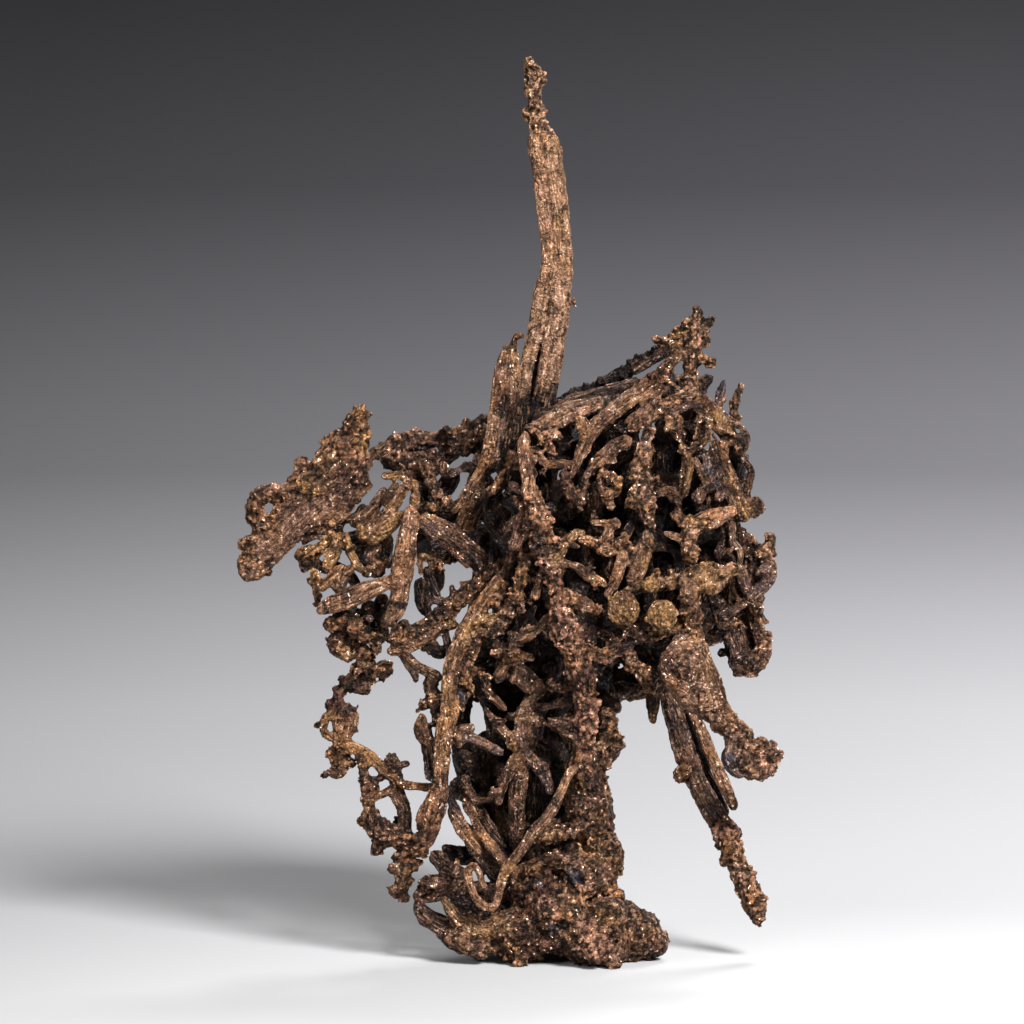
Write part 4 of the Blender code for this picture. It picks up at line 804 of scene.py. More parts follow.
crown = {
    "wireLook": "bead tan",
    "wires": [
        ((7.6, 6.8, 6, 5.4), "1.7 52.5 0.9, 2.8 52.5 1.6, 4.2 53.1 2.1, 5.7 53.9 2.2, 7.3 54.4 2, "
            "8.8 55.1 1.5", "ribbed brown"),
        ((4, 3.4), "4.2 54.1 1, 6 55.1 1.3, 8.2 55.7 1.4, 10.4 56.3 1.3, 12.6 57 1.2", "ribbed dark"),
        ((8.4, 8, 7, 6, 4.4), "6.1 47.5 0.5, 6.5 48.5 0.9, 6.9 49.5 1.2, 7.3 50.4 1.4, 7.8 51.4 1.4, "
            "8.5 52.5 1.6, 9.5 53.4 1.8, 10.7 54.4 1.9, 12.2 55.5 1.8, 13.6 56.5 1.7", "ribbed brown"),
        ((4.8, 4, 3), "13.2 56.3 1.7, 14.8 57.6 1.6, 16 59 1.4, 17.2 60.2 1.1", "ribbed brown"),
        (8.6, "6.7 53.5 0.8, 7.2 52.6 1.7, 7.3 51.8 1.1, 6.9 51.2 0.5", "plate tan"),
        # a black wire under the ribbed bar, a painted shadow
        ((3, 2), "9.4 52.2 1.4, 11.4 53.6 1.6, 13.6 55.3 1.6, 15.4 56.8 1.6", "smooth black"),
        ((0.5, 1, 1.5, 2), "3.4 54.3 1, 5.8 55.5 1.1, 7.5 56.2 1.1, 9.2 56.8 1.1, 11 57.7 1.2, "
            "12.5 58.9 1.1, 14 59.6 1.1, 15.6 60.3 1.1, 18 60.8 1.1", "bead black"),
        ((2.4, 3), "12.5 58.1 0.8, 14 59.1 1, 15.5 59.9 1, 17 60.5 0.9", "smooth dark"),
        ((6.8, 6), "11.4 53 0.5, 12.9 54.2 0.6, 14.4 55.4 0.6, 15.7 56.5 0.5", "smooth rust"),
        (6.4, "12.9 54.9 0.4, 14 55.8 0.5, 15.2 56.7 0.4", "smooth brown"),
        ((7.4, 6.6, 5.2), "11.9 52.4 0.9, 13.3 53.2 1.3, 14.9 54.2 1.5, 16.6 55.2 1.5, "
            "18.3 56.1 1.4", "grain tan"),
        ((4.6, 4.2), "15.5 57.3 0.5, 16.4 56.6 0.5, 17.2 56 0.5", "smooth brown"),
        (3, "18.4 55.6 1.1, 18 57 1.3, 18 58.5 1.4, 18.3 60.3 1.5, 18.5 62 1.4, 18.6 63.6 1, "
            "18.7 64.6 0.6"),
        (3, "18.4 61.8 1, 19.4 62.4 0.8, 19.9 63.3 0.7"),
        (3, "18.2 60.6 1, 19.2 60.8 0.8, 19.9 61.2 0.7"),
        (3, "18 60.8 1, 17.2 61.7 0.8, 16.4 62.2 0.8"),
        (2.8, "17.4 60 1, 16 60.7 0.9, 14.6 61.3 0.8"),
        (3, "18 58.8 1, 19.4 59.2 0.8, 20.3 59 0.7"),
        (2.4, "18.8 56.2 1.3, 19.4 57 1.3, 20 57.5 0.9", "grain dark"),
        # black stubs running back, painted shade in the openings
        ((5, 1, -2), "9.4 54.9 1.6, 9.2 55.4 1.8, 9 55.4 2", "smooth black"),
        ((4, 0, -2), "15.4 57.6 1.5, 15.4 57.6 1.8, 15.6 57 1.8", "smooth black"),
        ((6, 2, 1), "3.4 53.2 1.5, 3.2 53.6 1.8, 3.4 54 1.4", "smooth black"),
        (7.6, "2.4 52.2 0.8, 3.2 51.5 0.9, 4.3 51.6 0.9, 5.2 51.5 0.7", "grain pink"),
        (7.4, "3.6 51.2 0.9, 4 50.4 0.9, 4.3 49.8 0.6", "grain pink"),
        (8, "3.6 48.7 0.8, 4.7 48.9 0.9, 5.8 48.8 0.8, 6.6 48.3 0.7", "smooth brown"),
        ((7.4, 8), "2.4 50.4 0.7, 3 49.8 0.6, 3.5 49 0.6", "smooth brown"),
    ],
    "knobLook": "grain brown",
    "knobs": [
        (14.3, 57.7, 5, 1.1), (15.8, 58.2, 4, 1.1), (17.6, 62.6, 3, 0.8, "bead tan"),
        (19.2, 59.2, 3, 0.8, "bead tan"), (17.1, 61.1, 3, 0.9, "bead tan"),
        (16.2, 61.6, 3, 0.8, "bead tan"), (3.1, 51, 8.4, 0.7, "grain gold"), (17.8, 57, 4.6, 1.3),
        (3.1, 48.2, 8.2, 0.6), (3.5, 47.8, 8.2, 0.5), (10.6, 52.5, 7, 0.8, "grain olive"),
        (11.3, 52.2, 7, 0.7, "grain grey"),
    ],
    "crust": {"Lump Size": 1.3, "Lump Height": 0.24, "Grain Height": 0.24},
}

rightCage = {
    "wireLook": "smooth black",
    "wires": [
        ((2, -1), "5.4 50.8 1.6, 7.6 52 1.6"),
        ((3, 0), "14.6 51.4 1.4, 14.6 49.4 1.6, 14.4 47.2 1.4"),
        # the ribbed bar under the crown and the ring that hangs from it
        ((8, 7.6), "11.6 51.2 1.4, 10.4 50.5 1.6, 9.3 49.6 1.5, 8.4 48.9 1.3, 7.9 48.2 1", "ribbed brown"),
        (8.2, "9.8 49.2 0.8, 10.5 49.1 0.5", "smooth brown"),
        (8.2, "5.3 48.2 0.9, 5.6 47.2 1.2, 6 46.2 1.1, 6.3 45.5 1.2, 6.9 44.8 1", "grain brown"),
        (8, "8 48.4 0.9, 7.6 47.6 1, 7.2 46.7 1.1, 7.2 45.9 1.2, 7.5 45.1 0.8", "grain brown"),
        ((4, 2), "5.4 47.6 0.8, 5 46.2 0.9, 4.6 44.6 0.9", "smooth dark"),
        (8.8, "9.3 48.2 0.8, 8.9 47.4 0.9, 8.9 46.6 1, 9.3 45.9 1.1, 10.2 45.9 1, 10.7 46.6 0.9, "
            "10.4 47.4 0.8, 9.9 47.9 0.8", "grain tan"),
        (8.4, "9.5 45.9 0.9, 9.8 45.2 0.9, 10 44.5 0.9", "smooth brown"),
        (7, "8.6 46.4 0.9, 8.5 45.2 1, 8.4 44.1 1, 8.3 43.2 0.9", "smooth dark"),
        ((8.2, 8.4), "8.2 43 0.7, 9 43 0.8, 9.8 42.9 1, 10.6 42.9 1.2", "smooth rust"),
        (8.4, "10 42.8 1, 9.8 42.2 0.9, 9.6 41.5 0.7, 9.3 41.2 0.5", "smooth brown"),
        # the wide granular column
        ((7.4, 8.4, 8.8), "13.9 52.6 1.2, 13.5 51 1.4, 13.2 49.5 1.8, 12.9 48.1 2.1, 13.2 46.8 1.8, "
            "13.1 45.5 2.2, 13.5 44.2 1.7, 13.9 43.1 1.2", "grain brown"),
        (8.8, "12.4 46.4 0.9, 12.1 45.6 1, 11.7 44.9 0.6", "grain brown"),
        # the stout bars below
        ((8.6, 8.4), "13.6 42 1.1, 13.5 41.2 1.6, 13.2 40.3 1.8", "smooth grey"),
        ((8.6, 8.4), "13.2 40.4 1.7, 12.9 39.3 1.9, 12.6 38.4 1.8, 12.3 37.6 1.5, "
            "11.9 37 1", "smooth brown"),
        ((9.5, 9.3), "14 41.2 0.25, 13.9 40.3 0.3, 13.6 39.2 0.25", "smooth gold"),
        ((9, 9), "11.3 40.1 0.9, 11.1 39.2 1.2, 10.8 38.3 1.2, 10.5 37.4 1.2, 10 36.5 1, "
            "9.6 35.9 0.7", "smooth brown"),
        (8, "10.2 39.4 0.6, 9.9 38.4 0.6, 9.8 37.4 0.5", "smooth dark"),
        ((8.4, 8.8), "6.9 41.4 0.8, 7.6 41.3 1, 8.3 41 1.1, 9 40.4 1.2, 9.8 40.2 1.2, 10.5 40.4 1.1, "
            "11 41 1.1, 11.5 41.8 0.6", "smooth brown"),
        (8.8, "11.2 41 0.8, 11.9 40.6 0.8", "grain brown"),
        (7.4, "7.4 40.8 0.8, 7.6 39.8 0.9, 7.9 39.1 0.8, 8.2 38.8 0.5", "smooth grey"),
        # the ring of plates at the upper right
        (6.8, "16.1 54 0.8, 17 54.4 0.9, 17.9 54.8 0.9, 18.4 54.9 0.7", "plate grey"),
        (7.2, "15.6 53.5 0.8, 16.3 52.8 1.2, 16.8 52 1.3, 17 51.1 1", "grain brown"),
        (7.4, "15.5 52.5 0.8, 16.2 52.5 0.9, 16.8 52.6 0.8", "grain tan"),
        (7.4, "17 50.6 0.9, 17.6 50.2 0.9, 18.4 50.6 0.9, 19.2 50.9 0.9", "grain gold"),
        (7, "19.4 51.3 1.1, 19.6 52.2 0.7, 19.4 53.4 0.6", "grain gold"),
        (6, "17.8 54.6 0.6, 18.9 53.8 0.6, 19.3 53 0.6", "smooth dark"),
        (6.4, "19 53 0.4, 18.7 52.1 0.5, 18.3 51.3 0.4", "smooth gold"),
        ((5.4, 5), "18.6 55.4 1.3, 19.4 54.8 1.7, 19.8 53.8 2, 20.6 53.2 1.6", "plate gold"),
        ((5, 4.6), "20.2 53.8 1.3, 20.9 52.9 1.9, 21.5 52.2 1.9, 22 51.4 1.6", "grain tan"),
        ((4, 3.6), "19.3 55.7 0.5, 20.6 54.4 0.6, 21.6 53.5 0.7, 22.6 52.8 0.7, 23.5 52 0.6, "
            "23.8 51.2 0.5", "smooth grey"),
        # bars beside the black opening
        ((7.8, 7.4), "17.9 49.6 0.6, 17.9 48.6 0.7, 17.7 47.4 0.7, 17.5 46.3 0.7, "
            "17.3 45.6 0.5", "smooth gold"),
        (6.8, "17.6 50.2 0.9, 17.4 48.8 0.8, 17.2 47.2 0.8, 17 45.8 0.7", "smooth dark"),
        ((7.6, 7), "13.6 46.2 0.9, 14.8 46 0.9, 16 46.2 0.9, 16.8 45.9 0.7", "smooth brown"),
        (7.6, "15.8 45.4 0.7, 16.4 45.3 1, 16.8 44.6 0.9", "grain brown"),
        ((6.6, 6.2), "18.4 49.4 0.7, 18.9 48.2 0.8, 19.4 47 0.8, 19.9 46.2 0.7", "smooth grey"),
        ((6, 5.8), "19.3 49.8 0.6, 19.6 48.6 0.7, 20 47.4 0.7, 20.6 46.4 0.6", "smooth blue"),
        ((5, 4.4), "18.8 50 1.8, 19.6 48 2.2, 20.2 46 2.2, 20.6 44.4 2", "blade dark"),
        ((6.2, 5.6, 5), "20.2 51 0.9, 20.4 49.8 1, 20.8 48.4 1, 21.4 46.9 1.1, 22.1 45.4 1.2, 22.9 44 1.1, "
            "23.4 43.2 0.7", "smooth dark"),
        ((6, 5.4, 5.2), "21.2 49.9 0.9, 21.4 49 1.1, 21.8 47.8 1.3, 22.4 46.3 1.3, 23 44.9 1.2, "
            "23.7 43.5 0.8", "ribbed gold"),
        (5.4, "21 51 0.8, 21.3 50.2 0.9, 21.5 49.6 0.7", "grain rust"),
        # the outer rim
        ((3.6, 3), "23 49.6 0.7, 23.7 48.8 0.7, 24 48 0.8, 23.8 47.1 0.9, 23.6 46 0.8, "
            "23.7 45.3 0.8", "smooth dark"),
        ((4.6, 4), "23.4 44.8 1.6, 24.2 44.5 1.9, 24.9 44.4 1.5", "grain tan"),
        (3, "22.3 53.2 0.9, 22.3 54.2 1, 22.5 55.2 1, 22.8 56.1 0.95, 23.1 56.5 0.7", "grain brown"),
        (3.5, "20.8 53.8 0.8, 20.8 54.8 1, 21 56 1.1, 21.3 57.2 0.6", "blade blue"),
        # the ribbed shelf, what hangs under it and the dark bars at its right
        ((6, 7.2, 8), "22.2 44.2 1.2, 21.2 43.9 1.7, 20.1 43.5 2.1, 19 43.1 2, "
            "18 42.9 1.5", "ribbed pink"),
        (8.4, "19.4 42.8 1.4, 18.4 42.9 1.7, 17.8 43.5 1.1", "grain gold"),
        (8.4, "17.9 42.4 1.6, 17.9 41.5 1.5, 17.7 40.6 1.4, 17.9 39.9 1.7, 17.8 39.2 1.2", "grain brown"),
        (8.2, "15.5 42 0.8, 16.3 41.7 1, 17.1 41.2 0.9, 17.6 40.6 0.8", "blade brown"),
        (8.2, "16.4 43.9 1.2, 16.9 43.5 1.2, 17.4 43.2 0.9", "grain brown"),
        ((5, 5.4), "21.4 42.9 1, 21.8 41.8 1.5, 21.4 40.6 1.8, 20.8 39.8 1.4", "blade dark"),
        ((6, 6.4), "22.2 43 0.7, 22.1 42 0.7, 22.2 41.1 0.8, 22.8 40.2 0.8, 22.9 39.2 0.6, "
            "22.8 38.2 0.5", "smooth grey"),
        # dark wires that close the openings behind, their dark tone painted shade
        ((6, 0, -0.5, 4), "4.6 53.4 1.8, 5 52.2 2.4, 5.2 50.4 2.4, 4.4 49.2 1.8"),
        ((6, 0, 0, 5), "8.6 52.6 1.8, 8.8 51.2 2.2, 9 49.8 2.2, 9 48.6 1.4"),
        ((6, 0, -1, 3), "11.6 50.6 1.8, 11.4 49 2.4, 11.4 47.2 2.2, 11.8 45.4 1.6"),
        ((6, 0, -1, 4), "15.4 52.6 2, 16 50.6 2.8, 16 48.6 2.8, 15.8 46.4 2.4"),
        ((6, 1, 1, 4), "18.6 54.6 1.6, 18.3 53.4 2.4, 18.2 52 2.4, 18.2 50.8 2"),
        ((6, 0, -1, 4), "18.2 41.8 2, 19.6 41.4 2.4, 19.4 40 2.4, 19.8 38.8 1.8"),
        ((7, 0, -1, 4), "14.2 41.6 1.4, 15.4 40.8 1.6, 15.6 39.6 2, 15.4 38.2 1.8"),
        ((7, 1, 0, 5), "6 41.4 1.2, 6.4 40.2 2.2, 6.8 38.2 2.6, 7 36.2 2.4"),
        ((7, 1, 0, 5), "9.6 40.2 1.4, 9.2 39 2, 9 37.4 2.2, 8.6 35.8 2.2"),
        ((7, 0, 0, 5), "3.8 44.4 1.6, 5.2 43.4 2.6, 7.2 43.4 3, 8 42.2 2"),
        ((6, 0, 0, 5), "12.4 45 1.2, 12 43.4 1.8, 12 41.8 2, 12.6 40.4 1.6"),
        ((7, 1, 0, 5), "6.6 33.8 1.8, 7.8 33.4 2.2, 9 33.2 2.2, 10 33.8 1.8"),
        ((6, 0, -1, 3), "14.4 45.8 0.9, 14.7 44.4 1, 14.7 43 1, 14.4 41.4 1.2"),
        ((4, -1, -1, 3), "22.4 50.2 1.4, 22.8 48.8 1.6, 22.9 47.2 1.5, 23.2 45.4 1.4"),
        ((3, 0, -3, -4), "23.1 49.6 1.2, 22.6 48 1.8, 21.6 46.6 2, 20.4 45.2 2"),
        ((6, 2, -1, -3), "6.4 48.4 1, 6.8 47.2 1.8, 6.4 45.6 2, 6 43.6 2"),
        ((6, 3, -2, -4), "19.2 50 1.2, 19 48 2, 18.4 46 2.4, 18.4 44.2 2.4"),
    ],
    "knobLook": "grain brown",
    "knobs": [
        (8.4, 46.7, 8.6, 0.8), (10.7, 46.5, 9, 0.9, "grain gold"), (9.3, 46, 9.1, 1.2, "grain tan"),
        (12.4, 47.9, 9, 1.3), (13.9, 45.4, 9, 1.2), (12.5, 45.1, 9.2, 1.1, "grain tan"),
        (13.6, 48.9, 9, 1.2), (14.6, 47.3, 8.4, 0.9), (14.2, 42.8, 9, 0.9), (11, 41.1, 9.2, 1.3),
        (8.4, 36.8, 10, 0.7, "grain tan"), (8.3, 39.3, 7.6, 0.5, "grain rust"),
        (22.8, 50.9, 4.4, 2.3, "grain olive"), (19.5, 51.4, 7.2, 1.1, "grain gold"),
        (16.9, 53.2, 7.2, 0.9, "grain tan"), (21.4, 55.2, 3.6, 0.5, "smooth tan"),
        (18.7, 45.6, 6.4, 1.5, "smooth grey"), (20.8, 45.6, 6, 1.1, "smooth grey"), (18.6, 40.2, 8.6, 0.9),
        (16.6, 43.8, 8.6, 1.4), (21.8, 40.2, 6.4, 0.7, "smooth tan"), (24.8, 44.8, 4.4, 1.2, "grain tan"),
        (23.3, 49.5, 3.6, 0.7, "smooth blue"), (20.6, 53.3, 5.6, 1.1, "plate gold"),
        (20.8, 52.6, 5.2, 1.2, "plate tan"), (19.8, 54, 5.4, 1.2, "plate gold"),
        (18.8, 55.1, 5.6, 0.9, "plate gold"),
    ],
    "crust": {"Lump Size": 1.2, "Lump Height": 0.24, "Grain Height": 0.26},
    "thickets": [
        ((10.5, 47.5, -2), (5, 6, 1.5), 20, "black"), ((17, 45, -2), (5, 8, 1.5), 20, "black"),
        ((8, 40, -2), (5, 6, 1.5), 16, "black"),
    ],
    "voxel": 0.19,
}

rightFinger = {
    "wireLook": "grain brown",
    "wires": [
        (9.4, "10.8 35.8 0.9, 12.4 36.4 1, 13.9 36.9 1.3, 15.8 37 1.4, 17.6 37.3 1.7", "grain olive"),
        ((9.6, 9.4), "17 37.2 1.8, 18.4 37.4 2.4, 20 37.8 2.6, 21.2 38 1.7, 22.6 38.6 1", "grain olive"),
        ((9.7, 10), "17.8 36.6 1.8, 17.9 35.4 2, 18 34.1 1.7, 18.2 32.6 1.8"),
        ((10, 10.6, 11), "18.2 32.6 2, 17.9 31.2 3.2, 17.5 29.6 4.2, 17.7 28 4.6, 18.6 26.4 4.2, "
            "19.8 25 3.2"),
        ((11, 11.3), "19.4 25.6 3, 20.5 24.3 2.9, 21.3 23.3 2.4, 22.2 22.4 2.5, 23 21.2 3"),
        (11.6, "19 31 1, 19.5 29.4 1.2, 20.2 27.6 1.3, 20.9 25.8 1.2, 21.3 24.2 1", "smooth brown"),
        (11.8, "17.4 30.8 0.8, 16 30.3 1, 15.2 29 1.1, 15.6 27.8 1, 16.8 27.2 1.1", "smooth rust"),
        (12, "17.2 28.6 0.6, 17.9 29 0.7, 18.6 28.6 0.7, 18.5 27.8 0.6", "smooth brown"),
        (9.2, "11 32.9 1, 12.2 32.3 1.2, 13.5 31.7 1.2, 15.5 32.3 1.3, 17.8 33 1.5"),
        (11, "16.6 26.9 1.4, 17 25.6 1.3, 18.4 24.8 1.3", "smooth brown"),
        (12.8, "23.2 20.9 0.9, 24.4 21.3 1, 25.6 20.9 1, 26.4 20 0.9", "grain tan"),
        (13, "23.6 18.6 1, 24.6 18.2 1, 25.6 18.6 1, 25.9 19.5 0.8, 25.2 20.1 0.7", "grain pink"),
        (12.6, "21.9 21 0.8, 21.7 19.8 0.9, 22.1 18.6 0.9, 23 17.9 0.8", "smooth grey"),
        (12.8, "22.9 20.2 0.8, 23.3 19.4 0.8, 23.1 18.6 0.7", "grain dark"),
    ],
    "lumpLook": "plate gold",
    "lumps": [
        ((11.25, 34.5, 11.2), (1.75, 1.85, 0.55)), ((15.1, 33.9, 11.4), (1.6, 1.65, 0.6)),
        ((19.5, 37.4, 10.2), (2, 1.55, 0.7)), ((14, 36.9, 10.4), (0.95, 0.9, 0.5)),
        ((17.6, 36, 10.8), (0.95, 1, 0.5), "plate tan"),
        ((17.8, 28.8, 10.6), (2.5, 2.9, 1.6), "grain brown"),
        ((22.9, 19.6, 11), (1.9, 2, 1.9), "smooth grey"), ((24.6, 19.5, 11.2), (2.3, 2.1, 2), "grain pink"),
    ],
    "knobLook": "grain brown",
    "knobs": [
        (26, 21, 11.4, 1.1), (26.4, 19.8, 11.2, 1.3, "grain pink"), (14.5, 38, 9.6, 1), (16, 38.1, 9.6, 1),
        (21.9, 38.7, 9.4, 1.1, "grain pink"), (24, 17.8, 11.4, 1), (16, 36.8, 10.4, 1, "smooth brown"),
        (16.9, 28.6, 12.2, 0.9, "grain rust"), (13.2, 34.9, 9.8, 1), (17, 34.2, 10.4, 1),
    ],
    "patches": [((18.9, 25.8, 12), 0.8, "dark"), ((15.4, 28.6, 12.2), 0.5, "dark"),
        ((22, 19.4, 12.6), 0.8, "blue")],
    "crust": {"Lump Size": 1.5, "Lump Height": 0.36, "Grain Height": 0.32},
}

rightLeg = {
    "wireLook": "grain brown",
    "wires": [
        ((2, 3, 4), "15.6 26.8 1.6, 16.2 24.4 2.1, 16.8 22.4 2.2, 17.4 20.4 2.3, 18.1 18.4 2.2, "
            "18.9 16.6 2.1, 19.8 14.9 2.2, 20.8 13.3 2.4, 21.5 12.2 2.2", "ribbed grey"),
        ((4, 4.5, 5), "21.1 12.9 2.3, 21.9 11 2.4, 22.6 9.2 2.2, 23.3 7.4 2.2, 24.2 5.7 2.4, 24.6 4.4 2.3, "
            "24.9 3 1.1"),
        ((2.6, 3.2, 4), "17.9 25 1, 18.7 23.2 1.1, 19.4 21.6 1.2, 20.1 19.8 1.2, 20.9 18 1.3, "
            "21.7 16.2 1.3, 22.4 14.5 0.9", "smooth rust"),
        ((1, 1.6, 2.4), "17.2 24.6 1.2, 18.2 21.8 1.4, 19.2 18.8 1.4, 20.6 15.6 1.3, "
            "21.6 13.8 1", "smooth black"),
        (3.8, "17.4 18.3 1.4, 16.7 17.6 1.2"),
        ((2, 1, -1.5), "15.2 26.8 1.9, 14.2 28.6 2.2, 13.4 30.2 2.4", "smooth dark"),
        (3, "15.2 27.2 1.4, 14.4 26 1.5, 14.3 24.4 1.2, 14.3 23.2 0.8", "smooth gold"),
    ],
    "knobLook": "grain brown",
    "knobs": [
        (21.4, 9.2, 4.6, 1.1), (24.3, 7.5, 5, 0.9), (22.4, 12, 5, 1.2, "grain pink"),
        (25.2, 5.4, 5.2, 1.2, "grain pink"),
    ],
    "patches": [((16.6, 22, 4.6), 1, "blue"), ((22.4, 10, 6), 0.8, "rust")],
    "crust": {"Lump Size": 1.4, "Lump Height": 0.26, "Grain Height": 0.3, "Groove Height": 0.4},
}

rightEdge = {
    "wireLook": "grain brown",
    "wires": [
        (4, "20.3 35.5 1.4, 21.3 33.5 1.8, 22 31.5 1.7, 22.2 30.4 1.3, 22.6 28.8 1.6"),
        ((5, 5, 4.4), "21.8 33.9 0.9, 23 34.7 0.9, 24.2 35.7 1.1, 25.4 36.9 1.5, "
            "26.1 38 1.4", "smooth grey"),
        (4, "26.1 38.2 1.3, 25.4 39.6 1.5"),
        (3, "22.2 42 1.2, 23.4 41.6 1, 24.1 41.3 0.9, 23.7 40.4 1.5, 24.8 39.6 2.4, 25.8 40.6 1.4, "
            "26.1 41.6 1"),
        ((2.5, 4), "24.2 39.6 2, 24.3 37.8 1.9, 24.4 36.2 1.3"),
        ((6, 5), "22.8 38.6 1, 23.3 37.3 1.2, 23.7 36 1", "smooth grey"),
        ((4, 3, 2), "22.4 43 1, 22.6 41 1.1, 21.4 40.6 1.9, 21.6 39 1.6", "smooth dark"),
        (3.2, "24.4 36.4 1, 24.8 35 1.1, 24.8 33.4 1.1, 24.9 32.2 1.2, 25.2 31.2 1.7, 25.3 30 1.6, "
            "24.9 29 1.5, 24.3 28.3 1.4, 22.6 28.6 1.4"),
        ((1.5, 3), "22.8 33.2 1.5, 23 31 1.9, 22.8 29.2 1.9", "smooth dark"),
        (4.6, "22.3 31.7 1.2, 22.5 30 1.3, 22.6 28.9 0.9", "blade grey"),
        ((3, 0.5, -0.5), "22.2 41 1.6, 22 40 1.8, 21.6 39.4 1.8", "smooth black"),
        ((1.5, -2.5, -6), "23.6 40.2 1.4, 23.8 38.4 1.8, 22.6 36 1.8", "ribbed dark"),
        ((2, -1.5, -6, -7), "22.8 30.2 1.4, 23 31.6 1.8, 22 34 1.8, 22.6 36.4 1.6", "ribbed dark"),
    ],
    "knobLook": "grain brown",
    "knobs": [
        (26, 41.4, 3, 1.2), (24.6, 34.3, 3.6, 1.4), (25.2, 38, 4.6, 1.5, "smooth grey"),
        (23.4, 29.9, 3.4, 1.6, "grain dark"), (23.2, 42.2, 3, 1), (21.2, 30, 3.4, 1.2, "grain grey"),
        (25.6, 31.8, 3.4, 1.2), (25.4, 37.2, 5, 1, "smooth grey"),
    ],
    "sprigs": 0.25,
    "thickets": [
        ((23.5, 35, 0), (2.2, 6, 2), 26, "dark"),
    ],
}

leftArm = {
    "wireLook": "grain brown",
    "wires": [
        ((4, 3.6, 3), "-26.1 38.3 3.1, -24.3 40.3 3.4, -22.3 42.3 3.6, -20 44.3 3.9, -17.9 45.9 3.6, "
            "-16.2 47 2.2", "plate rust"),
        ((3.6, 3), "-26.4 39.4 1.2, -24.6 41.6 1.3, -22.8 43.4 1.3, -20.6 45.3 1.4", "plate brown"),
        ((3, 2.4, 2), "-21.9 46.3 2.6, -19.7 46.8 4, -17.2 48.2 4, -16 50.2 3.8, -15.4 52 3, "
            "-15.2 53.2 2.1, -14.9 54.4 1.2"),
        ((3, 2.6), "-19 47.6 2.6, -18.1 49.4 2.6, -17.4 50.8 1.8, -17 52.2 1", "grain tan"),
        (3.5, "-22.2 46 1.6, -23.4 46.1 1.9, -24.6 45.7 2, -25.3 44.8 1.9, -25.4 43.8 1.8, -25 42.9 1.8, "
            "-24.4 42.4 1.6"),
        (3.2, "-22.6 44.6 1.4, -23.6 43.4 1.5, -24.6 42.6 1.4"),
        (2.4, "-20.6 41.6 1.6, -19.2 42.6 2, -17.9 43.4 1.8, -16.9 44.3 1.4"),
        (3, "-20.5 47.3 1.6, -20.9 48.4 1.1, -21.1 49.3 0.8, -20.3 49.5 0.6"),
        (2.5, "-18.4 49.6 1.9, -18.3 50.8 1.2, -18.4 51.6 0.6"),
        ((3, 3, 2), "-17.6 46 1.9, -16 45.3 1.7, -15.2 46 1.5, -14.2 46.8 1.2", "smooth brown"),
        ((2.5, 2), "-16.6 47.6 1.7, -15.2 47.2 1.6, -14.6 48.4 1.3"),
        (3, "-16 45.4 1.4, -16.5 44 1, -17.2 43.3 0.9", "smooth brown"),
        (3.6, "-26.6 40.9 1.4, -25.4 41.4 1.1", "smooth brown"),
    ],
    "knobLook": "grain brown",
    "knobs": [
        (-26.5, 40.9, 3.8, 1.5), (-15.2, 47, 2.6, 1.8), (-16, 45.3, 3, 1.7),
        (-24.2, 38.2, 4, 1.2, "plate rust"), (-14.9, 53.9, 2.6, 1.5, "grain gold"),
        (-14.6, 51.8, 2.6, 1.7, "grain gold"), (-16.8, 51.6, 2, 1.4), (-15.8, 48.7, 3, 1.3, "grain pink"),
        (-14.6, 52.6, 2, 1.1), (-18.9, 48.4, 3.4, 1.8, "grain tan"), (-17.6, 49.6, 3.2, 1.8, "grain tan"),
        (-16.2, 53, 2, 1.1), (-19.6, 47, 3.8, 1.6, "grain gold"),
    ],
    "patches": [((-18.8, 47.4, 4), 1.6, "olive")],
    "crust": {"Lump Size": 1.5, "Lump Height": 0.34, "Grain Height": 0.32},
}

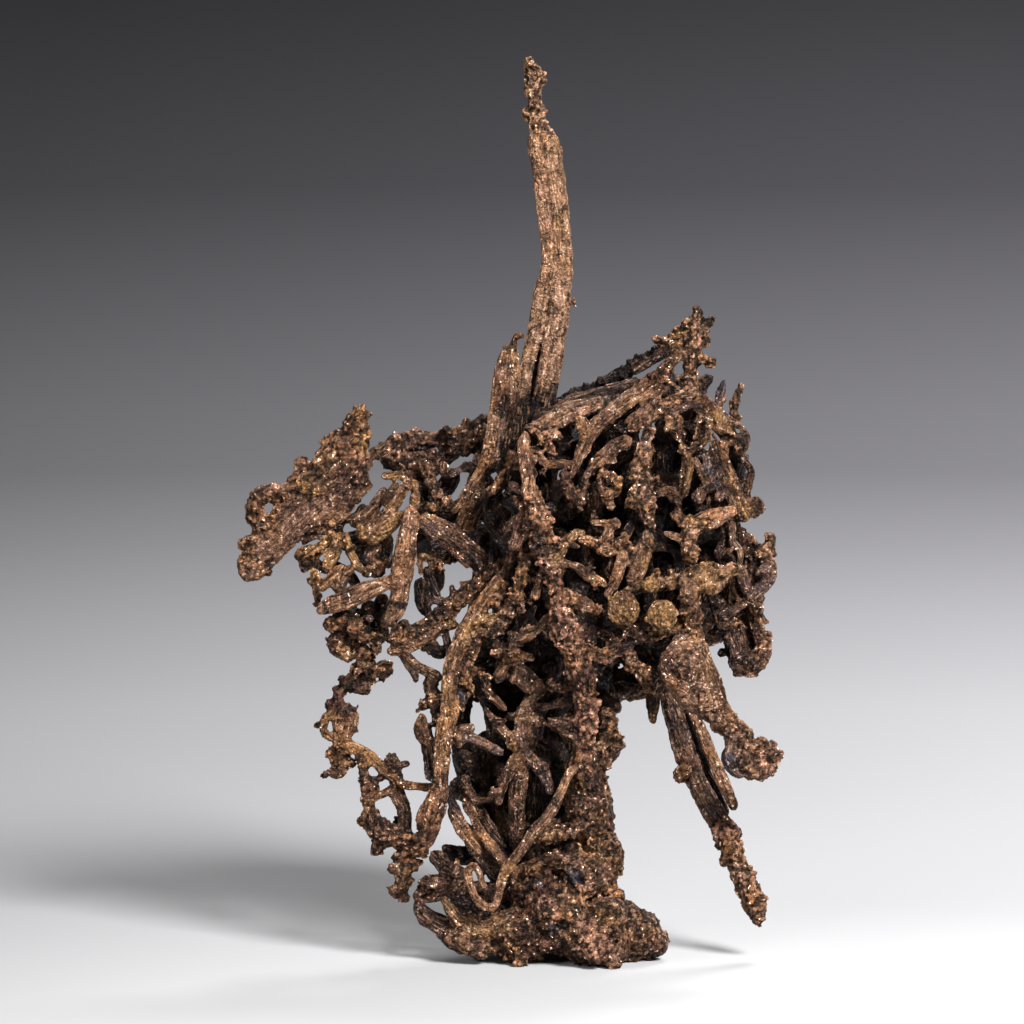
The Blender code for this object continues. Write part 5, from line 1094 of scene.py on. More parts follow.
leftFan = {
    "wireLook": "smooth black",
    "wires": [
        # the beaded crest
        ((1.4, 0.8), "-14.6 48.9 1, -13.9 49.7 1.2, -13.1 50.3 1", "smooth dark"),
        ((0.4, 0, 0, -0.4), "-12.8 49.8 1.6, -11.8 50.5 1.9, -10.8 50.9 2, -9.6 51.2 2.1, -8.5 51.1 1.7, "
            "-7.6 51.4 1.1", "bead rust"),
        ((-0.4, -1), "-7.4 51.1 1.3, -6.2 51.4 1.7, -5 51.5 1.9, -3.6 52 2, -2.7 53 1.6", "bead rust"),
        ((1, 2, 2), "-11.8 49.6 1.7, -10 49 2, -8.6 49.2 1.8, -7.6 50 1", "bead brown"),
        ((0, 0), "-6 50.6 1.4, -4.4 50.7 1.6, -3.2 51 1.6", "bead rust"),
        (0.6, "-12 49 1.4, -10.8 48.6 1.2, -9.4 48 1.3, -8.2 47.8 1.2", "bead black"),
        (1, "-6.4 52.6 0.6, -6 51.8 0.8", "bead dark"),
        # a chain of knobs down from the crest
        ((3, 3.6, 4), "-8.6 49 1.2, -8 47.8 1, -7.8 46.8 1, -7.2 46 0.9, -6.5 45.3 1, "
            "-5.9 44.6 0.9", "bead tan"),
        ((3, 3), "-12.6 47.7 0.8, -12 47.7 0.9, -11.2 47.8 0.9", "smooth gold"),
        (2.6, "-10.9 48 0.9, -10.4 47.4 0.9, -9.8 47.6 0.8", "grain brown"),
        ((3.4, 2.8), "-6.7 48.9 0.8, -6.6 48.2 1.2, -6.2 47.7 0.8", "smooth brown"),
        ((3, 2.4), "-6.2 47.7 0.7, -5.5 48 0.9, -4.9 48.4 0.6", "smooth grey"),
        ((2.4, 2), "-4.8 48.5 0.9, -4 48.6 1.2, -3.2 48.2 1", "grain dark"),
        # long bars crossing to the arm
        ((5.6, 5, 4.4), "-10.2 47.1 0.9, -10.8 46 1.1, -11.4 45 1.1, -12.2 44.1 1.2, -13.1 43.2 1.3, "
            "-14.1 42.2 1.2", "smooth brown"),
        ((5.4, 5), "-10.8 43.9 1, -11.8 42.9 1.4, -12.8 42.1 1.4, -13.7 41.4 0.9", "smooth gold"),
        ((2, 3), "-12.6 46.2 1, -13.4 44.9 1.2, -14.4 43.6 1.4, -15.6 43 1.2", "smooth dark"),
        (3, "-11.4 46.8 0.9, -12 45.8 1, -12.4 44.9 0.9", "smooth dark"),
        (2, "-18 43 1, -16.6 43.4 1.1, -15.4 43.6 1, -14.6 44.6 1", "smooth dark"),
        ((6.6, 6.6), "-9.9 44.2 1.5, -9.9 43.2 1.8, -10.2 42 1.9, -10.4 40.5 2.1, "
            "-10.6 39 2.2", "smooth tan"),
        ((6.6, 6, 5.4), "-10.6 39.2 2.1, -10.9 37.6 2.3, -11 36.3 1.9, -11.2 35 1.9, -11.7 33.9 1.7, "
            "-12.3 33.2 1.4, -12.6 32.8 0.8", "smooth tan"),
        ((5.6, 6.2, 6.4), "-19 34.3 1, -18 34.7 1.7, -16.8 35.1 1.9, -15.6 35.6 2.1, -14.4 36.1 2, "
            "-13.2 36.6 1.7, -12.1 37.1 1.3, -11.3 37.3 1", "smooth tan"),
        ((4.8, 4.4), "-9.4 46.1 0.8, -9.5 45.2 1.1, -9.6 44.4 0.9", "smooth brown"),
        (4.6, "-17 41.9 0.9, -17.3 40.9 1.3, -17.7 39.8 1.5, -18.2 38.8 1.2, "
            "-18.4 38.4 0.7", "blade gold"),
        (4.8, "-16.4 41.9 0.7, -16.1 40.7 0.8, -15.7 39.6 0.9, -15.1 38.6 0.9, "
            "-14.6 38.2 0.6", "smooth gold"),
        (4.4, "-15 42.7 0.8, -14.9 41.6 0.7", "smooth gold"),
        ((4, 4, 2.4), "-21.3 39.6 1, -20.3 40.1 1.4, -19.2 40.3 1.2, -18.2 41.4 0.9, "
            "-17.2 42.4 1", "grain gold"),
        (3.4, "-20.8 38.8 0.9, -19.8 39 1.2, -18.8 38.8 1", "grain dark"),
        (5, "-18.9 36.6 1.1, -18.2 37.1 1, -17.5 37.8 0.9, -16.8 38.6 0.8", "smooth brown"),
        (4.6, "-17.1 36.6 1.4, -16.6 37.5 1.1, -15.9 38.5 0.9", "smooth brown"),
        (3, "-19.2 35 0.8, -19.3 36 0.8, -19.6 37 0.9, -20 37.4 0.8", "grain brown"),
        ((3.6, 4), "-13.1 41.1 0.9, -13.6 40.2 1, -14.3 39.4 0.9", "smooth dark"),
        (4, "-13.7 38.8 0.8, -13 38.9 1.1, -12.3 39.1 0.8", "grain tan"),
        (4, "-14.2 38 0.7, -13.4 37.8 0.8, -12.6 38.2 0.8", "grain brown"),
        (3.4, "-12.6 41.2 0.5, -12.2 40.8 0.5, -11.8 41.2 0.5, -12 41.8 0.5", "smooth grey"),
        # the dark plate and the bars right of it
        ((6, 5.4, 4.6, 4), "-8.8 43.3 1.4, -7.6 42.3 2.1, -6.2 41.6 2.1, -5 40.8 2, -4 39.9 1.9, "
            "-3.2 38.9 1.7, -3 38 1.2", "ribbed grey"),
        ((6.4, 5.6, 5), "-8.6 43.9 0.5, -7.4 43.4 0.6, -6 42.8 0.6, -5 42 0.6, -4 41.1 0.6, "
            "-2.6 39.9 0.6", "smooth brown"),
        (5, "-6.5 41 0.7, -5.6 40.2 0.9, -4.8 39.3 0.8, -4.2 38.6 0.5", "smooth rust"),
        ((4.4, 3), "-9.1 39.7 0.8, -8 39.5 1, -7 39.4 1.2, -6 39.4 1.1, -5.3 39.5 0.8", "grain olive"),
        (4.6, "-6.9 38.9 0.6, -6.9 38.3 0.7", "grain tan"),
        (4.6, "-9.1 39.2 0.7, -8.9 38.6 0.7, -8.9 38 0.7", "smooth brown"),
        ((5, 5, 4.6), "-0.2 39.6 0.7, -1 38.9 1, -2 38 1.1, -3 37.2 1.4, -4 36.3 1.6, -5 35.4 1.7, "
            "-6 34.6 1.8", "grain brown"),
        ((5, 4.8, 4.6), "-5.8 34.7 1.8, -7 33.7 1.8, -8 33 1.7, -9.2 32.2 1.7, -10.4 31.4 1.6, "
            "-11.6 30.7 1.3", "grain brown"),
        ((5.2, 4.6), "-6.9 32.5 1, -8 31.6 1, -9 31 1, -10.2 30.5 1, -12 30.2 1", "smooth brown"),
        ((5, 4), "-8.9 37.2 1.2, -8.8 36 1.7, -8.6 34.8 1.6, -8.3 33.9 1.1", "blade black"),
        (3.6, "-8.3 38.4 1, -7.9 37 1.3, -7.3 35.6 1", "blade black"),
        (4.6, "-5.8 36.7 0.6, -5.7 35.5 0.6", "smooth dark"),
        (4.4, "-7.7 35.3 0.8, -6.8 35.2 0.9, -5.6 34.9 0.8", "smooth grey"),
        ((3.4, 2), "-2.2 43.4 0.4, -1.8 42.3 0.5, -1.2 41.4 0.6, -0.6 40.5 0.8, "
            "-0.4 39.8 0.7", "smooth grey"),
        ((2.4, 2, 1.4), "-2.4 47 1.6, -3.2 45.4 2.2, -4 43.9 2.4, -4.6 42.4 2", "blade dark"),
        # the lower rim
        ((4.6, 4.4), "-18.3 32.8 1.3, -17.4 33.1 1.6, -16.2 33.5 1.5, -15.2 33.1 1.3, "
            "-14.6 32.5 0.9", "grain brown"),
        (5, "-16 32.4 1, -15.1 32 1.1, -14.5 31.6 0.9", "grain rust"),
        (4.6, "-14.4 31.5 1.2, -13.6 31.5 1.4, -12.8 31.4 1.1", "grain gold"),
        (3.6, "-17.6 31.9 0.9, -17.4 30.8 1.5, -16.4 31 1.7, -15.4 31 1.2", "grain brown"),
        (3.4, "-17.8 30.2 0.7, -16.8 29.9 1.1, -15.6 29.9 1.1, -14.4 30.4 1.2", "smooth dark"),
        (4, "-11 30.4 1, -10.2 29 1, -9.6 28 0.9, -9.4 27.2 0.6", "smooth dark"),
        ((4.4, 5), "-8.2 31 1.2, -7.6 30.4 1.5, -6.8 29.8 1.2", "grain dark"),
        (5, "-6.8 32.6 0.9, -6.2 32.8 1.1, -5.4 32.9 0.9", "grain gold"),
        (4.6, "-6.5 32 0.8, -6.3 31.2 0.9, -5.9 30.3 0.8", "smooth grey"),
        # dark wires behind, their dark tone painted shade
        ((2, -0.5, -0.5, 0), "-9.4 47.6 1.6, -8 48.4 2, -6.4 49.6 1.6, -5.4 50 1.2"),
        ((3, 0, -0.5, 1), "-9.2 46.4 1.6, -7.6 45.4 1.8, -6.2 46.8 2, -5.6 48 1.4"),
        ((4, 1, 0, 0), "-9 44.6 1.4, -7.4 44 2, -5.8 43.9 2, -4.4 44.6 2"),
        ((4, 1, 0, 0), "-9 41.8 1.8, -8.6 40.4 2, -7.2 40.2 1.6, -5.8 40.4 1.2"),
        ((3, 0, 0, 1), "-4.2 41.2 2, -3.2 41.6 2.6, -2 40.8 2.4, -0.8 42.6 2"),
        ((4, 1.6, 1.6, 3), "-13 42.2 1, -12.4 41.2 1.4, -12.4 40 1.4, -12 38.8 1"),
        ((4, 2, 2, 3), "-18.8 38.6 1.2, -17 38.2 1.6, -15.8 37.4 1.3, -15.4 36.6 0.9"),
        ((3, 2, 2, 2), "-17.2 42.6 1, -16.8 41 1.4, -15.6 40.8 1.2, -14.4 40.4 1"),
        ((4, 2, 2, 3), "-14.4 34.6 1.4, -13.2 34.4 1.8, -12.6 35.6 1.2"),
        ((4, 2, 2, 3), "-7.8 38.4 1.4, -7.2 37.2 1.4, -7.8 36.2 1.2, -9 35.4 1.6"),
        ((3, 1.6, 1, 1), "-17 33 1.6, -15.6 34 1.6, -15 32.6 1.6, -13 31.8 1.8", "grain black"),
        ((5, 3.4, 3.4, 4), "-10.4 33 1, -10.9 32.4 1.4, -11.2 31.6 1.4"),
    ],
    "knobLook": "grain gold",
    "knobs": [
        (-14.2, 48.8, 1.6, 1.2, "smooth grey"), (-9.6, 46.8, 5, 1.2, "smooth gold"),
        (-7.6, 44.6, 3.6, 1.1, "smooth brown"), (-20, 40.1, 4.4, 1.6), (-19.4, 37.7, 5, 1.2),
        (-17.1, 36.6, 5, 1.4, "smooth brown"), (-13, 38.9, 4.2, 1.1, "grain tan"),
        (-14, 33.5, 5, 0.9, "smooth grey"), (-11.9, 31.7, 5.2, 0.8, "grain rust"),
        (-11.2, 32.2, 5.2, 0.8, "grain rust"), (-13.4, 30.4, 4.2, 1.4, "grain brown"),
        (-16.2, 29.7, 4, 1.4, "grain brown"), (-5.2, 34.7, 5.8, 1, "grain olive"),
        (-4.4, 53.2, -0.8, 0.8, "plate tan"), (-6.2, 52.3, 0, 0.7, "grain tan"), (-14.7, 41.8, 4.8, 0.6),
        (-11.3, 32.4, 5.6, 0.8, "grain brown"), (-4.6, 37, 4.6, 0.8, "grain rust"),
    ],
    "patches": [((-3.6, 43.3, 2.8), 0.8, "rust"), ((-3, 44.3, 2.8), 0.6, "blue")],
    "crust": {"Lump Size": 1.2, "Lump Height": 0.22, "Grain Height": 0.24},
    "thickets": [
        ((-16, 41, 1), (3, 2.5, 0.8), 10, "black"), ((-15, 33, 2), (3, 1.6, 0.8), 10, "black"),
    ],
}

leftChain = {
    "wireLook": "grain brown",
    "wires": [
        ((4, 3.6, 3.4), "-14.2 30 1.7, -15 28.6 1.4, -16.2 26.9 1.3, -17.2 25.8 1.2, -17 24.3 1.4"),
        ((3.4, 3.2, 3), "-17 24.6 1.3, -17 22.8 1.6, -16.7 21.3 1.8, -16.9 19.8 1.8, -16.6 18.5 1.4"),
        ((3.5, 5, 7), "-16.2 20.7 1.2, -14.8 20.1 1.3, -13.5 19.2 1.2, -12.2 17.9 1.1, -10.8 17 1, "
            "-9.2 16.7 0.9, -7.6 16.6 0.9", "smooth gold"),
        ((4, 5, 6), "-15 20 1, -14.9 19.2 1, -14.5 17.5 1.1, -14.3 15.8 1.3, -14 14.4 1.5, "
            "-14 13.2 1.9", "grain rust"),
        ((5.8, 6.4), "-14.3 13.8 1.7, -13.5 12.8 2.3, -12.3 12 2.3, -11 11.5 2.1, "
            "-9.8 11 1.8", "grain rust"),
        (6, "-10.6 11.4 1.8, -10.3 10.2 1.7, -10.6 8.8 1.6, -10.8 7.2 1.6, -11.1 5.9 1.7"),
        ((4.5, 5, 6), "-11.7 18.8 1.1, -11.3 17.5 1.5, -11.3 16 1.7, -10.6 14.4 1.5, "
            "-10.5 12 1.4", "blade black"),
        (5.5, "-12.8 12.2 1.4, -13.2 10.6 1.3"),
        (4, "-14.4 29.2 0.8, -14 28.8 0.7, -12.6 29 0.7, -11.8 28.9 0.7"),
        (4, "-14.6 28.3 0.7, -13.8 28 0.7, -12.6 27.9 0.7, -11.8 28.2 0.7"),
        (4, "-12.8 28.2 0.6, -12.6 27.2 0.6"),
        (3.8, "-15.4 27.6 0.8, -14.3 27.4 0.8, -13.6 27.1 0.8"),
        (4, "-16.2 26.6 1, -15.2 26.4 1.1, -14.2 26.2 1.1", "grain dark"),
        (3.6, "-17.8 24.2 0.9, -18.6 23.2 1.1, -18.4 21.9 0.9, -17.4 21.4 0.9", "plate gold"),
        (3.6, "-16.4 24.8 1, -15.8 24 1.3, -15.7 22.9 1.2, -16.2 21.8 1", "plate brown"),
        (3.4, "-17.9 18 0.8, -17.2 17.8 0.8, -16.6 18.3 0.9", "smooth brown"),
        (4.6, "-12.6 17.9 0.8, -13.2 17.4 0.7, -14.2 17.4 0.7", "smooth brown"),
        (5.4, "-14 15.6 0.8, -12.7 15.9 0.8, -11.6 16.6 0.8", "smooth brown"),
        (4.6, "-11.6 18.9 0.9, -11 18.8 0.8, -10.2 19 0.7", "smooth dark"),
    ],
    "knobLook": "grain brown",
    "knobs": [
        (-16.8, 27.4, 3.6, 1.1), (-17.4, 26.3, 3.4, 1), (-18.1, 24.9, 3.4, 1.1), (-18.1, 20.1, 3.2, 1),
        (-15.9, 19, 3.4, 1.3), (-17.6, 19.2, 3.2, 1.2), (-11.8, 19.4, 4.6, 1.4, "grain dark"),
        (-14.7, 13.3, 6, 1.4, "grain rust"), (-13.2, 10.5, 5.6, 1.6), (-11.4, 9.6, 6.2, 1.1),
        (-11.7, 8.4, 6, 1.2), (-11.6, 6.2, 6, 1.4), (-9.6, 9, 6.2, 1.3), (-10.6, 5.6, 6, 1.3),
        (-13.4, 16.6, 5, 0.9), (-14.6, 16.6, 4.8, 1.1, "grain pink"),
    ],
    "crust": {"Lump Size": 1.1, "Lump Height": 0.3, "Grain Height": 0.3},
    "sprigs": 0.15,
}

# The trunk's black wires are painted shade, deep inside the nugget and behind its openings
trunk = {
    "wireLook": "smooth dark",
    "wires": [
        ((-3, -4, -4, -4, -3), "4.6 11 4, 4.2 17 4.4, 3.8 23 4.8, 3.4 30 5.2, 3 37 5.4, 2.6 44 4.8, "
            "2.2 50 3.8, 2.4 54 2.6", "ribbed black"),
        ((-2, -4, -3), "1.4 8.5 2.4, 0.2 12.5 2.4, -0.9 17 2.6, -1.2 22 2.4, -1.1 27 2.2, -1 32 2.4, "
            "0.4 38 2.4", "ribbed black"),
        ((-1.5, -3, -3, -2), "-2.6 31 2, -4.6 26 2.1, -5 21 2.2, -3.9 16.4 2.2, -2 12 2.2, "
            "0.4 8.6 2.2", "ribbed black"),
        ((-2, -4, -5, -4), "7.4 14 3.4, 7.6 20 3.6, 8 26 3.4, 9.2 32 4.6, 10.4 38 5.4, 11 44 5.2, "
            "10.4 50 4, 8.6 54.6 2.4", "ribbed black"),
        ((-4, -4, -3), "10 30 3.2, 14 34 4.8, 16.8 39 5.4, 17.8 44 5, 17.4 49 4.4, 16 54 3.2, "
            "15.4 57.4 2", "ribbed black"),
        ((-3, -2, -2), "12 29.4 2.6, 16.4 31.6 3.4, 19.8 35 3.8, 21.2 40 3.2, 21.4 45 2.6, "
            "20.6 50 2.2", "ribbed black"),
        ((5, 6, 6), "3.3 27 1.4, 2.5 25.9 1.5, 1.6 24.6 1.5, 1.1 23.4 1.4, 1 22.2 1.3, 1.2 21 1.2, "
            "1.3 20 1", "smooth grey"),
        ((5, 5.6, 5.6), "3.2 25.8 1.4, 2.6 24.2 1.6, 2.3 22.8 1.6, 2.1 21.4 1.4, "
            "1.7 20.2 1", "grain rust"),
        ((6, 5, 4), "1.3 20.4 1, 1.1 19 1.5, 1 17.8 1.9, 0.8 16.4 2, 0.7 15 1.9, 0.7 13.5 1.9, 0.6 12.2 2, "
            "0.5 11.3 1.4, 0.8 10 1", "ribbed rust"),
        ((1, -2), "1.8 19.4 1.6, 2.2 16.6 2.2, 2.2 13.6 2.2", "smooth black"),
        ((6, 7), "1.1 20.3 1, 0.2 19.2 1.1, -0.3 18 1.1, -0.7 17 1.1, -1 16 1, "
            "-1.2 15 0.8", "smooth brown"),
        ((6, 7), "1.5 20.3 1.1, 2.4 19.3 1.4, 3.2 18.3 1.5, 3.9 16.8 1.2, 4 16.1 1", "blade grey"),
        ((5, 1, -3), "3.3 27 1.8, 3.6 28.2 2.2, 3.6 29 2.6"),
        ((7, 6.6, 6), "-0.2 29.6 1.1, 0.3 29.2 1.2, 1.3 28.2 1.3, 2.4 27.2 1.4, "
            "3.2 26.2 1.3", "smooth brown"),
        ((6, 3, 0, -3), "-1.6 31 1.2, 0.4 29.4 1.5, 1.6 28.6 1.8, 2.8 28.2 2.2"),
        ((3, 0, -3), "4.6 20 2, 4.2 21.4 2.2, 4 22 2.4"),
        ((6, 1, -4), "7.6 45.4 1.4, 8.4 44.4 2, 9.4 43.6 2.4", "smooth black"),
        ((7, 2, -4), "13.6 43.4 1.4, 13.8 43 2, 14.6 42.2 2.6", "smooth black"),
        ((6, 1, -3), "19.2 44.2 1.5, 19 43.8 2, 18.4 43.6 2.4", "smooth black"),
        ((7, 2, -4), "12.6 31.6 1.3, 12.6 31.8 2, 12.4 32.4 2.6", "smooth black"),
        ((7, 1, -3), "16.6 31.4 1.6, 16.8 32 2.2, 16.6 33 2.6", "smooth black"),
        ((4, 1, -3), "10.5 24.4 1.6, 10.2 25.2 1.7, 9.4 26.6 2, 8.6 27.4 2.4"),
        ((4, 1, -3), "10.7 20.4 1.3, 9.8 21.4 1.8, 8.6 22.4 2.4"),
        ((6.4, 6), "3 24.7 0.9, 3.8 24.7 0.9, 4.6 24.9 0.9, 6.4 25.5 0.9"),
        (6.4, "-2.6 24.6 0.7, -1.8 23.6 1.1, -1 22.6 1.3, -0.3 21.8 1.2, 0.1 20.8 1", "blade brown"),
        ((4, 1, -2, -3), "-5 19.6 1.6, -3.8 18.4 2.8, -2.4 17.6 3, -1.4 18.8 2.4", "smooth black"),
        ((3, 0, -2, -3), "-5.4 16.8 1.8, -4.4 16 2.4, -2.8 16 2.8, -1 15.6 2.4", "smooth black"),
        ((4, 0, -2, -3), "-2.4 26.4 1.8, -1.6 24.6 2.6, -0.6 23.6 2.8, 0.6 22.6 2.4", "smooth black"),
        ((4, 0, -2, -3), "-3.2 28.2 1.4, -1.6 27.2 2.6, 0 26.6 3, 1.4 26 2.6", "smooth black"),
        ((5, 1, -2), "-3.2 30.4 1.6, -1.6 30.8 2.4, 0.6 31.4 2.8", "smooth black"),
        ((3, 0, -2), "-4.2 14.8 1.4, -2.6 13.4 2, -1 12.2 2.2", "smooth black"),
        ((5, 3, 0, -2), "-6.6 10.6 1, -5.4 9.8 1.8, -3.8 9.4 2, -2 8.6 2", "smooth black"),
        (5, "-3.9 15.4 0.7, -2.8 15.3 0.8, -1.6 15.3 0.7"),
        (6.6, "0.2 29.2 1, -0.3 29 1, -1 28 0.9, -1.3 27.1 0.7", "smooth brown"),
        (6.8, "0.8 28.6 0.8, 0.6 28 0.7, 0.2 27.1 0.7", "smooth brown"),
        (6.8, "1.2 28.2 0.8, 1.1 27.4 0.7, 1 26.6 0.6", "smooth brown"),
        (6.8, "1.9 27.7 0.7, 1.8 27.1 0.7, 1.7 26.4 0.6", "smooth brown"),
        (6.6, "0.2 29.6 0.9, 0.6 30 0.8, 1.4 29.7 0.9, 2.3 29.5 0.7", "smooth brown"),
        ((4, 5), "3.5 33.4 1, 4.3 32.4 1, 4.6 31 0.9, 4.8 29.5 1.2, 4.6 28 1, 3.8 27.2 1", "smooth grey"),
        (4.6, "4.6 30.2 0.8, 3.3 29.5 0.7, 2.8 28.4 0.9"),
        ((4, 3, -1), "3.7 21 1.5, 4.2 20.4 1.7, 5 19.8 1.8, 5.4 18 1.6"),
        ((3.4, 0, -2), "5.3 18.6 1.3, 4.6 16.4 1.6, 3.9 14.8 1.9", "blade dark"),
        ((2, -1), "-3.2 20.4 1.4, -2.6 17.6 1.7, -1.4 14.4 1.6, 0.2 11.4 1.8", "blade dark"),
        ((1, -1), "3.6 19.6 1.5, 2.9 16.4 1.8, 2.6 13 1.9, 3 10 2", "blade dark"),
        ((2, -1.4), "-3.4 29 1.1, -2.4 26 1.3, -1.8 22.6 1.4, -1.4 19.8 1.5"),
        ((1, 0, -2), "6.4 46.4 1.4, 6 42.4 1.8, 5.6 38.4 1.8, 6 34.2 1.8", "blade dark"),
        ((2, 0, -2), "11.4 51.4 1.3, 11.8 48 1.6, 11 44 1.8, 10.6 39.6 1.8"),
        ((3, 0.6, -1), "15.4 52.6 1.2, 15.9 49.6 1.5, 15.4 46 1.7, 15.6 41.6 1.8", "blade blue"),
        ((2, 0, -2), "8.8 53.2 1.2, 8.9 50 1.5, 8.6 46.6 1.6"),
        ((2.4, 0.4), "16.6 40.4 1.3, 17.6 36.6 1.6, 19 33.8 1.7"),
        ((3, 1, -1), "9.9 40 1.1, 9.4 37 1.4, 9.3 33 1.6, 10 30 1.7"),
        ((2.6, 0.4), "13.2 41 1.3, 13.8 37.4 1.5, 14 33.4 1.7, 13 30.4 1.8"),
        ((3, 0), "8.1 28.8 1.1, 8.6 28.2 1.4, 9.2 27.2 1.2, 9.4 25.6 1.2", "blade grey"),
        ((3, 1), "0.4 48.6 1.1, -0.4 47.4 1.2, -1.4 46.2 1.1, -2.6 45.4 1"),
        ((4, 2.4), "-2.4 46.2 0.8, -2.4 43.6 0.8, -1.4 41.6 0.8, -0.2 39.8 0.9"),
        ((5, 2, -1), "4.9 47 1, 4.5 45.5 1, 4 44.3 1.1, 3.6 43 1.4"),
        ((5.6, 2, -1), "5.4 41.4 0.8, 4.8 42.3 0.9, 4.4 43.4 1.3"),
    ],
    "knobLook": "grain grey",
    "knobs": [
        (-2.9, 13.9, 4.6, 1.1, "smooth brown"), (-3.6, 14.5, 4.8, 0.8, "smooth grey"),
        (-4.6, 16.2, 5, 1, "grain rust"), (0.1, 20.7, 6.8, 0.9, "grain gold"), (3.6, 15.3, 5.4, 1.3),
        (5.3, 17.8, 4.4, 1.3, "smooth blue"), (3.9, 28.5, 5.4, 1.5, "grain dark"),
        (0, 29.4, 6.8, 1.2, "grain brown"), (9.2, 26.8, 2.4, 1.5), (2.8, 21.8, 5, 1.3, "grain dark"),
    ],
    "crust": {"Lump Size": 1.5, "Lump Height": 0.3, "Grain Size": 0.6, "Grain Height": 0.3},
    "voxel": 0.25,
    "sprigs": 0.1,
    "thickets": [
        ((-3, 18, -1), (2, 5, 2), 14, "black"), ((1, 34, 0), (4, 6, 2), 18, "black"),
        ((1.5, 46, -1), (4, 4, 2), 16, "black"), ((4.6, 22, 1), (2, 5, 2), 16, "black"),
    ],
}

